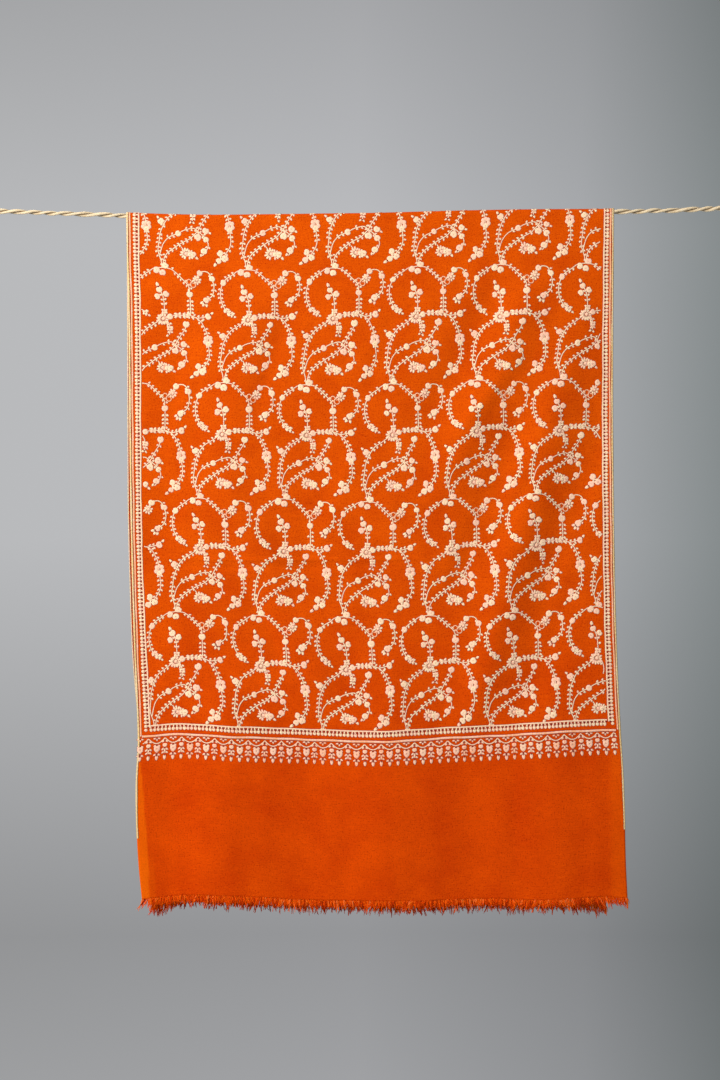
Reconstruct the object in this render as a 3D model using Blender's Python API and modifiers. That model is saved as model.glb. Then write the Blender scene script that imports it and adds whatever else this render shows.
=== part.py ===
"""A pashmina shawl hung doubled at half its length over a taut jute rope.

The origin is the rope's centre line at mid-span. +X runs to the viewer's right along the rope,
+Y away from the viewer and +Z up. Lengths are in metres, and the tables are in millimetres.
"""

import math
import random
from collections import namedtuple

import bmesh
import bpy
from mathutils import Vector

MM = 0.001

# The shawl: a stole of 0.70 x 2.00 m, modelled as a wall a little thicker than the real cloth
WALL = 0.0012
SEAM_GAP = 0.0003
SEAM_DEPTH = 0.008  # how far below the rope's centre the stretch over the rope gives way to the falls
FRONT_DROP = 0.9815  # from the rope to the cloth's edge, where the frayed threads start
BACK_DROP = 0.9900

# The rope and its ends
ROPE_RADIUS = 0.0035
ROPE_POINT_SPACING = 0.019
LEFT_END = -0.546
RIGHT_END = 0.517
SEIZING_LENGTH = 0.014
SEIZING_RADIUS = 0.0085
EYE_LENGTH = 0.034
EYE_SPREAD = 0.007
EYE_POINTS = 28

# How finely the cloth's grid is cut
GRID_ACROSS = 24
GRID_DOWN = 34
GRID_ROUND_ROPE = 8

# The frayed ends: locks of loose warp threads that grow from a narrow strip
LOCKS_PER_COLUMN = 5
LOCKS = GRID_ACROSS * LOCKS_PER_COLUMN
STRIP_DEPTH = 0.0025
LOCK_LENGTHS = (0.009, 0.017)
LOCK_SWAY = 0.0016
LOCK_TIP_SHARE = 0.2

# The cloth lies off the rope by this much, and swells outwards to this much further down
LIE_RADIUS = ROPE_RADIUS + SEAM_GAP + WALL / 2
SWELL = 0.0045
SWELL_DEPTH = 0.16
LEAST_SWELL = 0.0004
FOLD_FADE = 0.22  # the share of a fold's length over which it dies away at each end

# Where the rope runs: it dips under the cloth and rises to the right
RopePoint = namedtuple("RopePoint", "x height")
ROPE_ROUTE = (
    RopePoint(-620, 9.0),
    RopePoint(-533, 6.9),
    RopePoint(-446, 3.8),
    RopePoint(-360, 0.9),
    RopePoint(-290, -1.6),
    RopePoint(-230, -2.6),
    RopePoint(-150, -1.9),
    RopePoint(-75, -0.9),
    RopePoint(0, 0.0),
    RopePoint(90, 2.4),
    RopePoint(170, 4.3),
    RopePoint(250, 5.4),
    RopePoint(335, 5.9),
    RopePoint(410, 7.4),
    RopePoint(480, 10.0),
    RopePoint(540, 13.2),
    RopePoint(600, 17.0),
)

# Where each selvedge hangs at a depth below the rope. The front leans to the right as it falls.
Edge = namedtuple("Edge", "depth left right")
FRONT_EDGES = (
    Edge(0, -351, 351),
    Edge(120, -350, 349),
    Edge(265, -348, 348),
    Edge(410, -345.5, 349.5),
    Edge(525, -342.5, 350.5),
    Edge(640, -338.5, 354),
    Edge(755, -334, 360),
    Edge(815, -337, 364),
    Edge(870, -336.5, 366),
    Edge(930, -333.5, 367.5),
    Edge(1000, -327, 371.5),
)
BACK_EDGES = (
    Edge(0, -351, 351),
    Edge(120, -351, 348),
    Edge(265, -350.5, 346),
    Edge(410, -350, 344.5),
    Edge(525, -347, 343),
    Edge(640, -342, 342),
    Edge(755, -332, 341),
    Edge(870, -323, 341),
    Edge(1010, -315, 342),
)

# How far the weft lines are drawn up at a place across the shawl: at its end borders and at its cut edges
Lift = namedtuple("Lift", "x up")
BORDER_DEPTH = 0.75
BORDER_LIFTS = (
    Lift(-350, -1.5),
    Lift(-331, -1.0),
    Lift(-265, 3.5),
    Lift(-187, -1.0),
    Lift(-101, -4.0),
    Lift(0, -8.0),
    Lift(72, -5.3),
    Lift(187, 0.0),
    Lift(245, 3.0),
    Lift(316, 7.0),
    Lift(380, 8.0),
)
FRONT_EDGE_LIFTS = (
    Lift(-330, -4.5),
    Lift(-256, 1.5),
    Lift(-160, -1.5),
    Lift(-100, -5.5),
    Lift(-10, -6.5),
    Lift(75, -6.5),
    Lift(173, -3.5),
    Lift(210, -5.0),
    Lift(270, -4.5),
    Lift(330, -1.0),
    Lift(370, -2.5),
)
BACK_EDGE_LIFTS = (
    Lift(-318, -10.0),
    Lift(-288, -2.0),
    Lift(-259, 5.0),
    Lift(-220, 1.5),
    Lift(-172, 1.0),
    Lift(-100, -3.0),
    Lift(0, -6.0),
    Lift(72, -6.0),
    Lift(160, -1.5),
    Lift(205, -5.0),
    Lift(266, -3.0),
    Lift(342, -7.5),
)

# Soft folds, each a ridge (height over 0) or a trough along a line from its top to its foot
Fold = namedtuple("Fold", "top_x top_depth foot_x foot_depth half_width height")
FRONT_FOLDS = (
    Fold(255, 70, 90, 430, 24, 5.0),
    Fold(205, 60, 60, 350, 22, -3.5),
    Fold(300, 150, 130, 800, 28, 6.0),
    Fold(225, 260, 120, 580, 24, -4.0),
    Fold(325, 290, 215, 760, 26, -4.0),
    Fold(345, 20, 330, 420, 26, -3.0),
    Fold(-150, 30, -235, 480, 34, 3.0),
    Fold(-265, 90, -305, 540, 30, -2.5),
    Fold(-225, 360, -40, 720, 30, 3.5),
    Fold(-60, 260, -110, 620, 36, -2.0),
    Fold(-205, 620, -215, 1200, 42, 5.5),
    Fold(-290, 700, -285, 1200, 26, -3.5),
    Fold(-85, 700, -100, 1200, 40, -3.0),
    Fold(30, 560, 25, 1200, 48, 5.0),
    Fold(150, 720, 150, 1200, 36, -2.5),
    Fold(262, 640, 275, 1200, 44, 4.5),
)
BACK_FOLDS = (
    Fold(-270, 50, -120, 420, 28, 4.5),
    Fold(-180, 120, -60, 520, 26, -3.0),
    Fold(-300, 240, -200, 820, 30, 5.0),
    Fold(70, 60, 190, 480, 32, 4.0),
    Fold(150, 220, 60, 620, 28, -3.0),
    Fold(290, 80, 250, 560, 30, 3.5),
    Fold(-255, 560, -250, 1200, 40, 6.0),
    Fold(-150, 620, -155, 1200, 34, -3.5),
    Fold(-30, 500, -40, 1200, 46, 7.0),
    Fold(85, 640, 85, 1200, 34, -3.0),
    Fold(200, 560, 210, 1200, 42, 6.5),
    Fold(300, 700, 305, 1200, 26, -3.0),
)

FRONT = -1
BACK = 1
DROPS = {FRONT: FRONT_DROP, BACK: BACK_DROP}
EDGES = {FRONT: FRONT_EDGES, BACK: BACK_EDGES}
EDGE_LIFTS = {FRONT: FRONT_EDGE_LIFTS, BACK: BACK_EDGE_LIFTS}
FOLDS = {FRONT: FRONT_FOLDS, BACK: BACK_FOLDS}


def read_smoothly(table, wanted, column):
    """The value of a column where the table's first column is wanted, on a smooth curve through the rows."""
    wanted = min(max(wanted, table[0][0]), table[-1][0])
    after = next(i for i in range(1, len(table)) if wanted <= table[i][0])
    low, high = table[after - 1], table[after]
    span = high[0] - low[0]
    along = (wanted - low[0]) / span

    def slope(i):
        before, behind = table[max(i - 1, 0)], table[min(i + 1, len(table) - 1)]
        return (getattr(behind, column) - getattr(before, column)) / (behind[0] - before[0])

    start, end = getattr(low, column), getattr(high, column)
    return (
        start * (1 + 2 * along) * (1 - along) ** 2
        + end * (3 - 2 * along) * along**2
        + span * slope(after - 1) * along * (1 - along) ** 2
        - span * slope(after) * (1 - along) * along**2
    )


def ease(share):
    """0 below 0, 1 above 1 and a smooth rise between."""
    share = min(max(share, 0.0), 1.0)
    return share * share * (3 - 2 * share)


def rope_height(x):
    return read_smoothly(ROPE_ROUTE, x / MM, "height") * MM


def fold_height(fold, x, depth):
    """How far a fold stands out at a place on a fall. It dies away at both ends and to each side."""
    x, depth = x / MM, depth / MM
    run = Vector((fold.foot_x - fold.top_x, fold.foot_depth - fold.top_depth))
    reach = Vector((x - fold.top_x, depth - fold.top_depth))
    along = reach.dot(run) / run.length_squared
    aside = (reach.x * run.y - reach.y * run.x) / run.length
    shown = ease(along / FOLD_FADE) * ease((1 - along) / FOLD_FADE)
    return fold.height * MM * shown * math.exp(-((aside / fold.half_width) ** 2))


def stand_off(side, x, depth):
    """How far a fall's middle lies from the plane through the rope. Folds only ever swell it outwards."""
    swell = SWELL + sum(fold_height(fold, x, depth) for fold in FOLDS[side])
    swell = 0.5 * (swell + math.hypot(swell, 2 * LEAST_SWELL))
    return LIE_RADIUS + swell * ease(depth / SWELL_DEPTH)


def across(side, share, depth):
    """The place of a warp thread, from the left selvedge (share 0) to the right one (share 1)."""
    left = read_smoothly(EDGES[side], depth / MM, "left") * MM
    right = read_smoothly(EDGES[side], depth / MM, "right") * MM
    return left + (right - left) * share


def fall_point(side, share, down, below=0.0):
    """A point in the middle of a fall's wall. down runs from 0 at its seam to 1 at its cut edge, and below is
    how far further down it lies."""
    depth = SEAM_DEPTH + (DROPS[side] - SEAM_DEPTH) * down
    x = across(side, share, depth)
    lift = read_smoothly(BORDER_LIFTS, x / MM, "up") * ease(depth / BORDER_DEPTH)
    past_border = ease((depth - BORDER_DEPTH) / (DROPS[side] - BORDER_DEPTH))
    lift += (read_smoothly(EDGE_LIFTS[side], x / MM, "up") - lift) * past_border
    z = rope_height(x) * (1 - down) - depth + lift * MM - below
    return Vector((x, side * stand_off(side, x, rope_height(x) - z), z))


def edge_point(side, share, below):
    """A point below a fall's cut edge, which runs straight from one column of its grid to the next."""
    column = min(int(share * GRID_ACROSS), GRID_ACROSS - 1)
    start = fall_point(side, column / GRID_ACROSS, 1.0, below)
    end = fall_point(side, (column + 1) / GRID_ACROSS, 1.0, below)
    return start.lerp(end, share * GRID_ACROSS - column)


def over_rope_point(share, around):
    """A point of the stretch over the rope. around runs from -1 at the front seam over the crest to 1."""
    side = FRONT if around < 0 else BACK
    arc = LIE_RADIUS * math.pi / 2
    reach = abs(around) * (arc + SEAM_DEPTH - SEAM_GAP)
    if reach > arc:
        down = reach - arc
        seam = fall_point(side, share, 0.0)
        x = across(side, share, down)
        return Vector((x, side * stand_off(side, x, down), seam.z + SEAM_DEPTH - down))
    x = across(side, share, 0.0)
    angle = reach / LIE_RADIUS
    return Vector((x, side * LIE_RADIUS * math.sin(angle), rope_height(x) + LIE_RADIUS * math.cos(angle)))


def clear_scene():
    for obj in list(bpy.data.objects):
        bpy.data.objects.remove(obj, do_unlink=True)


def new_material(name, colour, roughness):
    material = bpy.data.materials.new(name)
    material.use_nodes = True
    shader = material.node_tree.nodes["Principled BSDF"]
    shader.inputs["Base Color"].default_value = (*colour, 1.0)
    shader.inputs["Roughness"].default_value = roughness
    shader.inputs["Metallic"].default_value = 0.0
    return material


def add_object(name, data, collection, material):
    obj = bpy.data.objects.new(name, data)
    data.materials.append(material)
    collection.objects.link(obj)
    return obj


def cloth_grid(columns, rows, place):
    """An open grid bent to place(share across, share down), both from 0 to 1."""
    bm = bmesh.new()
    bmesh.ops.create_grid(bm, x_segments=columns, y_segments=rows, size=0.5)
    for vertex in bm.verts:
        vertex.co = place(vertex.co.x + 0.5, 0.5 - vertex.co.y)
    return bm


def cloth_wall(name, bm, collection, material):
    """A panel with the cloth's thickness, half on each side of the grid."""
    mesh = bpy.data.meshes.new(name)
    bm.to_mesh(mesh)
    bm.free()
    panel = add_object(name, mesh, collection, material)
    wall = panel.modifiers.new("Wall", "SOLIDIFY")
    wall.thickness = WALL
    wall.offset = 0.0
    wall.use_even_offset = True
    return panel


def build_fall(name, side, collection, material):
    bm = cloth_grid(GRID_ACROSS, GRID_DOWN, lambda share, down: fall_point(side, share, down))
    return cloth_wall(name, bm, collection, material)


def build_over_rope(collection, material):
    bm = cloth_grid(GRID_ACROSS, GRID_ROUND_ROPE, lambda share, down: over_rope_point(share, 2 * down - 1))
    return cloth_wall("shawl_over_rope", bm, collection, material)


def build_fringe(name, side, seed, collection, material):
    """A narrow strip along the cut edge, with a tapered lock of loose threads on each of its lower faces."""

    def place(share, down):
        return edge_point(side, share, SEAM_GAP + STRIP_DEPTH * down)

    strip = cloth_wall(name, cloth_grid(LOCKS, 1, place), collection, material)
    graph = bpy.context.evaluated_depsgraph_get()
    mesh = bpy.data.meshes.new_from_object(strip.evaluated_get(graph))
    strip.modifiers.clear()
    strip.data = mesh
    chance = random.Random(seed)
    bm = bmesh.new()
    bm.from_mesh(mesh)
    roots = [face for face in bm.faces if face.normal.z < -0.9]
    tips = bmesh.ops.extrude_discrete_faces(bm, faces=roots)["faces"]
    for tip in sorted(tips, key=lambda face: face.calc_center_median().x):
        centre = tip.calc_center_median()
        hang = Vector((
            chance.uniform(-LOCK_SWAY, LOCK_SWAY),
            chance.uniform(-LOCK_SWAY, LOCK_SWAY),
            -chance.uniform(*LOCK_LENGTHS),
        ))
        for vertex in tip.verts:
            vertex.co = centre + (vertex.co - centre) * LOCK_TIP_SHARE + hang
    bm.to_mesh(mesh)
    bm.free()
    return strip


def rope_tube(name, points, closed_ends, collection, material):
    curve = bpy.data.curves.new(name, "CURVE")
    curve.dimensions = "3D"
    curve.bevel_depth = ROPE_RADIUS
    curve.bevel_resolution = 2
    curve.use_fill_caps = closed_ends
    spline = curve.splines.new("POLY")
    spline.points.add(len(points) - 1)
    for point, place in zip(spline.points, points):
        point.co = (*place, 1.0)
    return add_object(name, curve, collection, material)


def build_rope(collection, material):
    count = round((RIGHT_END - LEFT_END) / ROPE_POINT_SPACING)
    places = [LEFT_END + (RIGHT_END - LEFT_END) * i / count for i in range(count + 1)]
    points = [Vector((x, 0.0, rope_height(x))) for x in places]
    return rope_tube("rope", points, True, collection, material)


def build_seizing(name, end, outwards, collection, material):
    """The twine bound round the two parts of the rope where they meet at an eye."""
    bm = bmesh.new()
    bmesh.ops.create_cone(
        bm,
        cap_ends=True,
        segments=16,
        radius1=SEIZING_RADIUS,
        radius2=SEIZING_RADIUS,
        depth=SEIZING_LENGTH,
    )
    mesh = bpy.data.meshes.new(name)
    bm.to_mesh(mesh)
    bm.free()
    seizing = add_object(name, mesh, collection, material)
    middle = end + outwards * (SEAM_GAP + SEIZING_LENGTH / 2)
    seizing.location = (middle, 0.0, rope_height(end))
    seizing.rotation_euler = (0.0, math.pi / 2, 0.0)
    rounding = seizing.modifiers.new("Rounding", "BEVEL")
    rounding.width = 0.0015
    rounding.segments = 2
    rounding.limit_method = "ANGLE"
    return seizing


def build_eye(name, end, outwards, collection, material):
    """A loop of the same rope. Its two legs leave the seizing side by side."""
    start = end + outwards * (2 * SEAM_GAP + SEIZING_LENGTH)
    leg = ROPE_RADIUS + SEAM_GAP
    points = []
    for i in range(EYE_POINTS + 1):
        turn = 2 * math.pi * i / EYE_POINTS
        spread = 1.5 * EYE_SPREAD * math.sin(turn) * math.sin(turn / 2) ** 2
        x = start + outwards * EYE_LENGTH * math.sin(turn / 2)
        points.append(Vector((x, 0.0, rope_height(end) + leg * math.cos(turn / 2) + spread)))
    return rope_tube(name, points, True, collection, material)


def main():
    clear_scene()
    parts = bpy.data.collections.new("pashmina_shawl")
    bpy.context.scene.collection.children.link(parts)

    pashmina = new_material("pashmina twill", (0.65, 0.10, 0.004), 0.8)
    fraying = new_material("loose pashmina threads", (0.55, 0.08, 0.004), 0.85)
    jute = new_material("jute rope", (0.56, 0.44, 0.30), 0.85)
    twine = new_material("jute twine", (0.48, 0.37, 0.24), 0.85)

    build_fall("shawl_front_fall", FRONT, parts, pashmina)
    build_fall("shawl_back_fall", BACK, parts, pashmina)
    build_over_rope(parts, pashmina)
    build_fringe("fringe_front", FRONT, 3, parts, fraying)
    build_fringe("fringe_back", BACK, 8, parts, fraying)

    build_rope(parts, jute)
    for side, end, outwards in (("left", LEFT_END, -1), ("right", RIGHT_END, 1)):
        build_seizing(f"rope_seizing_{side}", end, outwards, parts, twine)
        build_eye(f"rope_eye_{side}", end, outwards, parts, jute)


main()
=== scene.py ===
"""Dresses the shawl: woven wool, raised needlework, overcast selvedges, frayed ends and a laid jute rope.

The frame is the CAD model's: the origin on the rope's centre line at mid-span, +X to the viewer's right,
+Y away from the viewer and +Z up. Positions on the cloth are given flat, in millimetres: how far across it
from its middle, and how far along it from the crest over the rope, over 0 down the front and under 0 down
the back.
"""

import functools
import math
from collections import namedtuple

import bpy
import numpy as np
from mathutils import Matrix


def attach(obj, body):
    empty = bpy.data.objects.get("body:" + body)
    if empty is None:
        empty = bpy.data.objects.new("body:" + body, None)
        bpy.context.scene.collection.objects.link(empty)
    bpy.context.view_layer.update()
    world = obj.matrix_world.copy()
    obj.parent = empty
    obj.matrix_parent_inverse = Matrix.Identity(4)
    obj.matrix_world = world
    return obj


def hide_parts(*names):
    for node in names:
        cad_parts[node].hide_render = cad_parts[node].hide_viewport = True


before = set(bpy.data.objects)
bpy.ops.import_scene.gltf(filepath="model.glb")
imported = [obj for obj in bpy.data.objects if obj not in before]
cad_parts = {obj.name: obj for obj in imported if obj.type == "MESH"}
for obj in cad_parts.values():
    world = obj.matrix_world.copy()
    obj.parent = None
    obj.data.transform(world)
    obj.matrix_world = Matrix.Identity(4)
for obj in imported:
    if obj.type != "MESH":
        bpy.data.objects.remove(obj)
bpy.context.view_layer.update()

for thing in bpy.context.selected_objects:
    thing.select_set(False)

MM = 0.001
FRONT = -1
BACK = 1

# The sizes that the CAD model is made to
WALL = 0.0012
SEAM_GAP = 0.0003
SEAM_DEPTH = 0.008
DROPS = {FRONT: 0.9815, BACK: 0.9900}
ROPE_RADIUS = 0.0035
LEFT_END = -0.546
RIGHT_END = 0.517
SEIZING_LENGTH = 0.014
EYE_LENGTH = 0.034
EYE_SPREAD = 0.007
LIE_RADIUS = ROPE_RADIUS + SEAM_GAP + WALL / 2
SWELL = 0.0045
SWELL_DEPTH = 0.16
LEAST_SWELL = 0.0004
FOLD_FADE = 0.22
BORDER_DEPTH = 0.75

RopePoint = namedtuple("RopePoint", "x height")
ROPE_ROUTE = (
    RopePoint(-620, 9.0),
    RopePoint(-533, 6.9),
    RopePoint(-446, 3.8),
    RopePoint(-360, 0.9),
    RopePoint(-290, -1.6),
    RopePoint(-230, -2.6),
    RopePoint(-150, -1.9),
    RopePoint(-75, -0.9),
    RopePoint(0, 0.0),
    RopePoint(90, 2.4),
    RopePoint(170, 4.3),
    RopePoint(250, 5.4),
    RopePoint(335, 5.9),
    RopePoint(410, 7.4),
    RopePoint(480, 10.0),
    RopePoint(540, 13.2),
    RopePoint(600, 17.0),
)

Edge = namedtuple("Edge", "depth left right")
EDGES = {
    FRONT: (
        Edge(0, -351, 351.5),
        Edge(60, -350, 351),
        Edge(120, -348, 350.5),
        Edge(200, -346.8, 350),
        Edge(290, -346.2, 350),
        Edge(410, -344.8, 350.8),
        Edge(525, -342.3, 352.3),
        Edge(640, -338.6, 355.5),
        Edge(755, -334, 361),
        Edge(815, -337, 365),
        Edge(870, -336.5, 367),
        Edge(930, -333.5, 368.5),
        Edge(1000, -326.5, 372),
    ),
    BACK: (
        Edge(0, -351, 352.5),
        Edge(40, -351, 351),
        Edge(120, -351, 348),
        Edge(265, -350.5, 346),
        Edge(410, -350, 344.5),
        Edge(525, -347.5, 343),
        Edge(640, -343, 342),
        Edge(755, -332.5, 341),
        Edge(870, -323, 341),
        Edge(1010, -315, 342),
    ),
}

Lift = namedtuple("Lift", "x up")
BORDER_LIFTS = (
    Lift(-350, -1.5),
    Lift(-331, -1.0),
    Lift(-265, 3.5),
    Lift(-187, -1.0),
    Lift(-101, -4.0),
    Lift(0, -8.0),
    Lift(72, -5.3),
    Lift(187, 0.0),
    Lift(245, 3.0),
    Lift(316, 7.0),
    Lift(380, 8.0),
)
EDGE_LIFTS = {
    FRONT: (
        Lift(-330, -4.5),
        Lift(-256, 1.5),
        Lift(-160, -1.5),
        Lift(-100, -5.5),
        Lift(-10, -6.5),
        Lift(75, -6.5),
        Lift(173, -3.5),
        Lift(210, -5.0),
        Lift(270, -4.5),
        Lift(330, -1.0),
        Lift(370, -2.5),
    ),
    BACK: (
        Lift(-318, -10.0),
        Lift(-288, -2.0),
        Lift(-259, 5.0),
        Lift(-220, 1.5),
        Lift(-172, 1.0),
        Lift(-100, -3.0),
        Lift(0, -6.0),
        Lift(72, -6.0),
        Lift(160, -1.5),
        Lift(205, -5.0),
        Lift(266, -3.0),
        Lift(342, -7.5),
    ),
}

Fold = namedtuple("Fold", "top_x top_depth foot_x foot_depth half_width height")
FOLDS = {
    FRONT: (
        Fold(255, 70, 90, 430, 24, 5.0),
        Fold(205, 60, 60, 350, 22, -3.5),
        Fold(300, 150, 130, 800, 28, 6.0),
        Fold(225, 260, 120, 580, 24, -4.0),
        Fold(325, 290, 215, 760, 26, -4.0),
        Fold(345, 20, 330, 420, 26, -3.0),
        Fold(-150, 30, -235, 480, 34, 3.0),
        Fold(-265, 90, -305, 540, 30, -2.5),
        Fold(-225, 360, -40, 720, 30, 3.5),
        Fold(-60, 260, -110, 620, 36, -2.0),
        Fold(-205, 620, -215, 1200, 42, 5.5),
        Fold(-290, 700, -285, 1200, 26, -3.5),
        Fold(-85, 700, -100, 1200, 40, -3.0),
        Fold(30, 560, 25, 1200, 48, 5.0),
        Fold(150, 720, 150, 1200, 36, -2.5),
        Fold(262, 640, 275, 1200, 44, 4.5),
    ),
    BACK: (
        Fold(-270, 50, -120, 420, 28, 4.5),
        Fold(-180, 120, -60, 520, 26, -3.0),
        Fold(-300, 240, -200, 820, 30, 5.0),
        Fold(70, 60, 190, 480, 32, 4.0),
        Fold(150, 220, 60, 620, 28, -3.0),
        Fold(290, 80, 250, 560, 30, 3.5),
        Fold(-255, 560, -250, 1200, 40, 6.0),
        Fold(-150, 620, -155, 1200, 34, -3.5),
        Fold(-30, 500, -40, 1200, 46, 7.0),
        Fold(85, 640, 85, 1200, 34, -3.0),
        Fold(200, 560, 210, 1200, 42, 6.5),
        Fold(300, 700, 305, 1200, 26, -3.0),
    ),
}

# Finer creases than the CAD model has: short slack ones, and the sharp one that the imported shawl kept
CREASES = {
    FRONT: (
        Fold(-340, 492, 120, 497, 2.6, 0.9),
        Fold(-300, 503, 60, 507, 4.0, -0.6),
        Fold(230, 190, 120, 330, 10, 2.0),
        Fold(262, 330, 160, 520, 11, -2.0),
        Fold(300, 470, 236, 650, 12, 1.9),
        Fold(-120, 140, -170, 300, 11, -1.6),
        Fold(-255, 200, -290, 380, 10, 1.5),
        Fold(-20, 330, -70, 480, 12, 1.6),
        Fold(40, 130, -10, 270, 10, -1.4),
        Fold(-190, 500, -120, 660, 11, -1.7),
        Fold(-262, 760, -255, 1150, 12, -1.0),
        Fold(-150, 745, -160, 1150, 14, 0.9),
        Fold(-30, 750, -36, 1150, 13, -0.9),
        Fold(82, 740, 90, 1150, 15, 0.9),
        Fold(205, 750, 214, 1150, 13, -1.0),
        Fold(320, 730, 330, 1150, 12, 0.9),
    ),
    BACK: (
        Fold(300, 488, -90, 494, 2.6, 0.9),
        Fold(260, 500, -60, 505, 4.0, -0.6),
        Fold(-220, 160, -120, 320, 10, 1.3),
        Fold(-250, 360, -180, 540, 11, -1.2),
        Fold(110, 150, 170, 320, 11, 1.1),
        Fold(230, 240, 200, 430, 12, -1.0),
        Fold(30, 330, 70, 500, 12, 0.9),
        Fold(-90, 520, -60, 700, 12, -1.0),
        Fold(-300, 760, -300, 1150, 12, -1.0),
        Fold(-190, 750, -196, 1150, 14, 0.9),
        Fold(40, 745, 46, 1150, 13, -0.9),
        Fold(150, 750, 150, 1150, 13, 0.9),
        Fold(262, 740, 268, 1150, 12, -0.9),
    ),
}

# The flat cloth and its needlework, in millimetres
HALF_WIDTH = 350.0
CREST_ARC = LIE_RADIUS / MM * math.pi / 2  # from the crest to level with the rope's centre
CUT_EDGES = {side: CREST_ARC + DROPS[side] / MM for side in (FRONT, BACK)}
CLOTH_THICKNESS = 0.6
FIELD_HALF_WIDTH = 332.0
FIELD_END = 737.0


def read_smoothly(table, wanted, column):
    """A column's values where the table's first column is wanted, on a smooth curve through the rows."""
    keys = np.array([row[0] for row in table], dtype=float)
    values = np.array([getattr(row, column) for row in table], dtype=float)
    slopes = np.empty(len(keys))
    slopes[1:-1] = (values[2:] - values[:-2]) / (keys[2:] - keys[:-2])
    slopes[0] = (values[1] - values[0]) / (keys[1] - keys[0])
    slopes[-1] = (values[-1] - values[-2]) / (keys[-1] - keys[-2])
    wanted = np.clip(wanted, keys[0], keys[-1])
    after = np.clip(np.searchsorted(keys, wanted), 1, len(keys) - 1)
    span = keys[after] - keys[after - 1]
    along = (wanted - keys[after - 1]) / span
    return (
        values[after - 1] * (1 + 2 * along) * (1 - along) ** 2
        + values[after] * (3 - 2 * along) * along**2
        + span * slopes[after - 1] * along * (1 - along) ** 2
        - span * slopes[after] * (1 - along) * along**2
    )


def ease(share):
    """0 below 0, 1 above 1 and a smooth rise between."""
    share = np.clip(share, 0.0, 1.0)
    return share * share * (3 - 2 * share)


def rope_height(x):
    return read_smoothly(ROPE_ROUTE, x / MM, "height") * MM


def fold_height(fold, x, depth):
    """How far a fold stands out at each place on a fall. It dies away at both ends and to each side."""
    run_x, run_depth = fold.foot_x - fold.top_x, fold.foot_depth - fold.top_depth
    length = math.hypot(run_x, run_depth)
    reach_x, reach_depth = x / MM - fold.top_x, depth / MM - fold.top_depth
    along = (reach_x * run_x + reach_depth * run_depth) / length**2
    aside = (reach_x * run_depth - reach_depth * run_x) / length
    shown = ease(along / FOLD_FADE) * ease((1 - along) / FOLD_FADE)
    return fold.height * MM * shown * np.exp(-((aside / fold.half_width) ** 2))


def puckers(side, x, depth):
    """The small unevenness that the needlework draws into the cloth. It fades out in the plain band."""
    across_mm, down_mm = x / MM, depth / MM
    waves = (
        np.sin(across_mm / 9.1 + down_mm / 23.0 + side)
        + np.sin(across_mm / 15.7 - down_mm / 11.3 + 2.1 * side)
        + np.sin(down_mm / 7.4 + across_mm / 41.0 + 0.7)
        + np.sin(across_mm / 5.9 - down_mm / 31.0 + 4.0)
    )
    drawn = 0.13 * MM * (1 - 0.7 * ease((down_mm - 790) / 30))
    return drawn * waves * ease(down_mm / 60)


def stand_off(side, x, depth):
    """How far a fall's middle lies from the plane through the rope."""
    swell = SWELL + sum(fold_height(fold, x, depth) for fold in FOLDS[side])
    swell = 0.5 * (swell + np.hypot(swell, 2 * LEAST_SWELL))
    finer = sum(fold_height(crease, x, depth) for crease in CREASES[side]) + puckers(side, x, depth)
    return LIE_RADIUS + (swell + finer) * ease(depth / SWELL_DEPTH)


def fall_point(side, share, reach):
    """Points in the middle of the cloth on one side, at a share of the width and a reach from the crest."""
    depth = (reach - CREST_ARC) * MM
    hung = np.maximum(depth, 0.0)
    down = np.clip((hung - SEAM_DEPTH) / (DROPS[side] - SEAM_DEPTH), 0.0, 1.0)
    left = read_smoothly(EDGES[side], hung / MM, "left") * MM
    right = read_smoothly(EDGES[side], hung / MM, "right") * MM
    x = left + (right - left) * share
    lift = read_smoothly(BORDER_LIFTS, x / MM, "up") * ease(hung / BORDER_DEPTH)
    past_border = ease((hung - BORDER_DEPTH) / (DROPS[side] - BORDER_DEPTH))
    lift += (read_smoothly(EDGE_LIFTS[side], x / MM, "up") - lift) * past_border
    rope = rope_height(x)
    z = rope * (1 - down) - hung + lift * MM
    y = side * stand_off(side, x, rope - z)
    angle = np.minimum(reach, CREST_ARC) * MM / LIE_RADIUS
    y = np.where(depth < 0, side * LIE_RADIUS * np.sin(angle), y)
    z = np.where(depth < 0, rope + LIE_RADIUS * np.cos(angle), z)
    return np.stack([x, y, z], axis=-1)


def cloth_middle(across, path):
    share = across / (2 * HALF_WIDTH) + 0.5
    points = np.empty(across.shape + (3,))
    for side in (FRONT, BACK):
        here = path > 0 if side == FRONT else path <= 0
        points[here] = fall_point(side, share[here], np.abs(path[here]))
    return points


def on_cloth(across, path, off):
    """Where flat places land on the hung cloth, moved out from its middle by off. All are millimetres."""
    across, path, off = np.broadcast_arrays(
        np.asarray(across, float), np.asarray(path, float), np.asarray(off, float)
    )
    step = 0.5
    along = cloth_middle(across, path + step) - cloth_middle(across, path - step)
    over = cloth_middle(across + step, path) - cloth_middle(across - step, path)
    out = np.cross(along, over)
    out /= np.linalg.norm(out, axis=-1, keepdims=True)
    return cloth_middle(across, path) + out * off[..., None] * MM


# Colours and materials


def linear(hex_colour):
    """An sRGB hex colour as the linear one that a shader takes."""
    parts = [int(hex_colour[i : i + 2], 16) / 255 for i in (1, 3, 5)]
    return tuple(p / 12.92 if p <= 0.04045 else ((p + 0.055) / 1.055) ** 2.4 for p in parts) + (1.0,)


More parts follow.
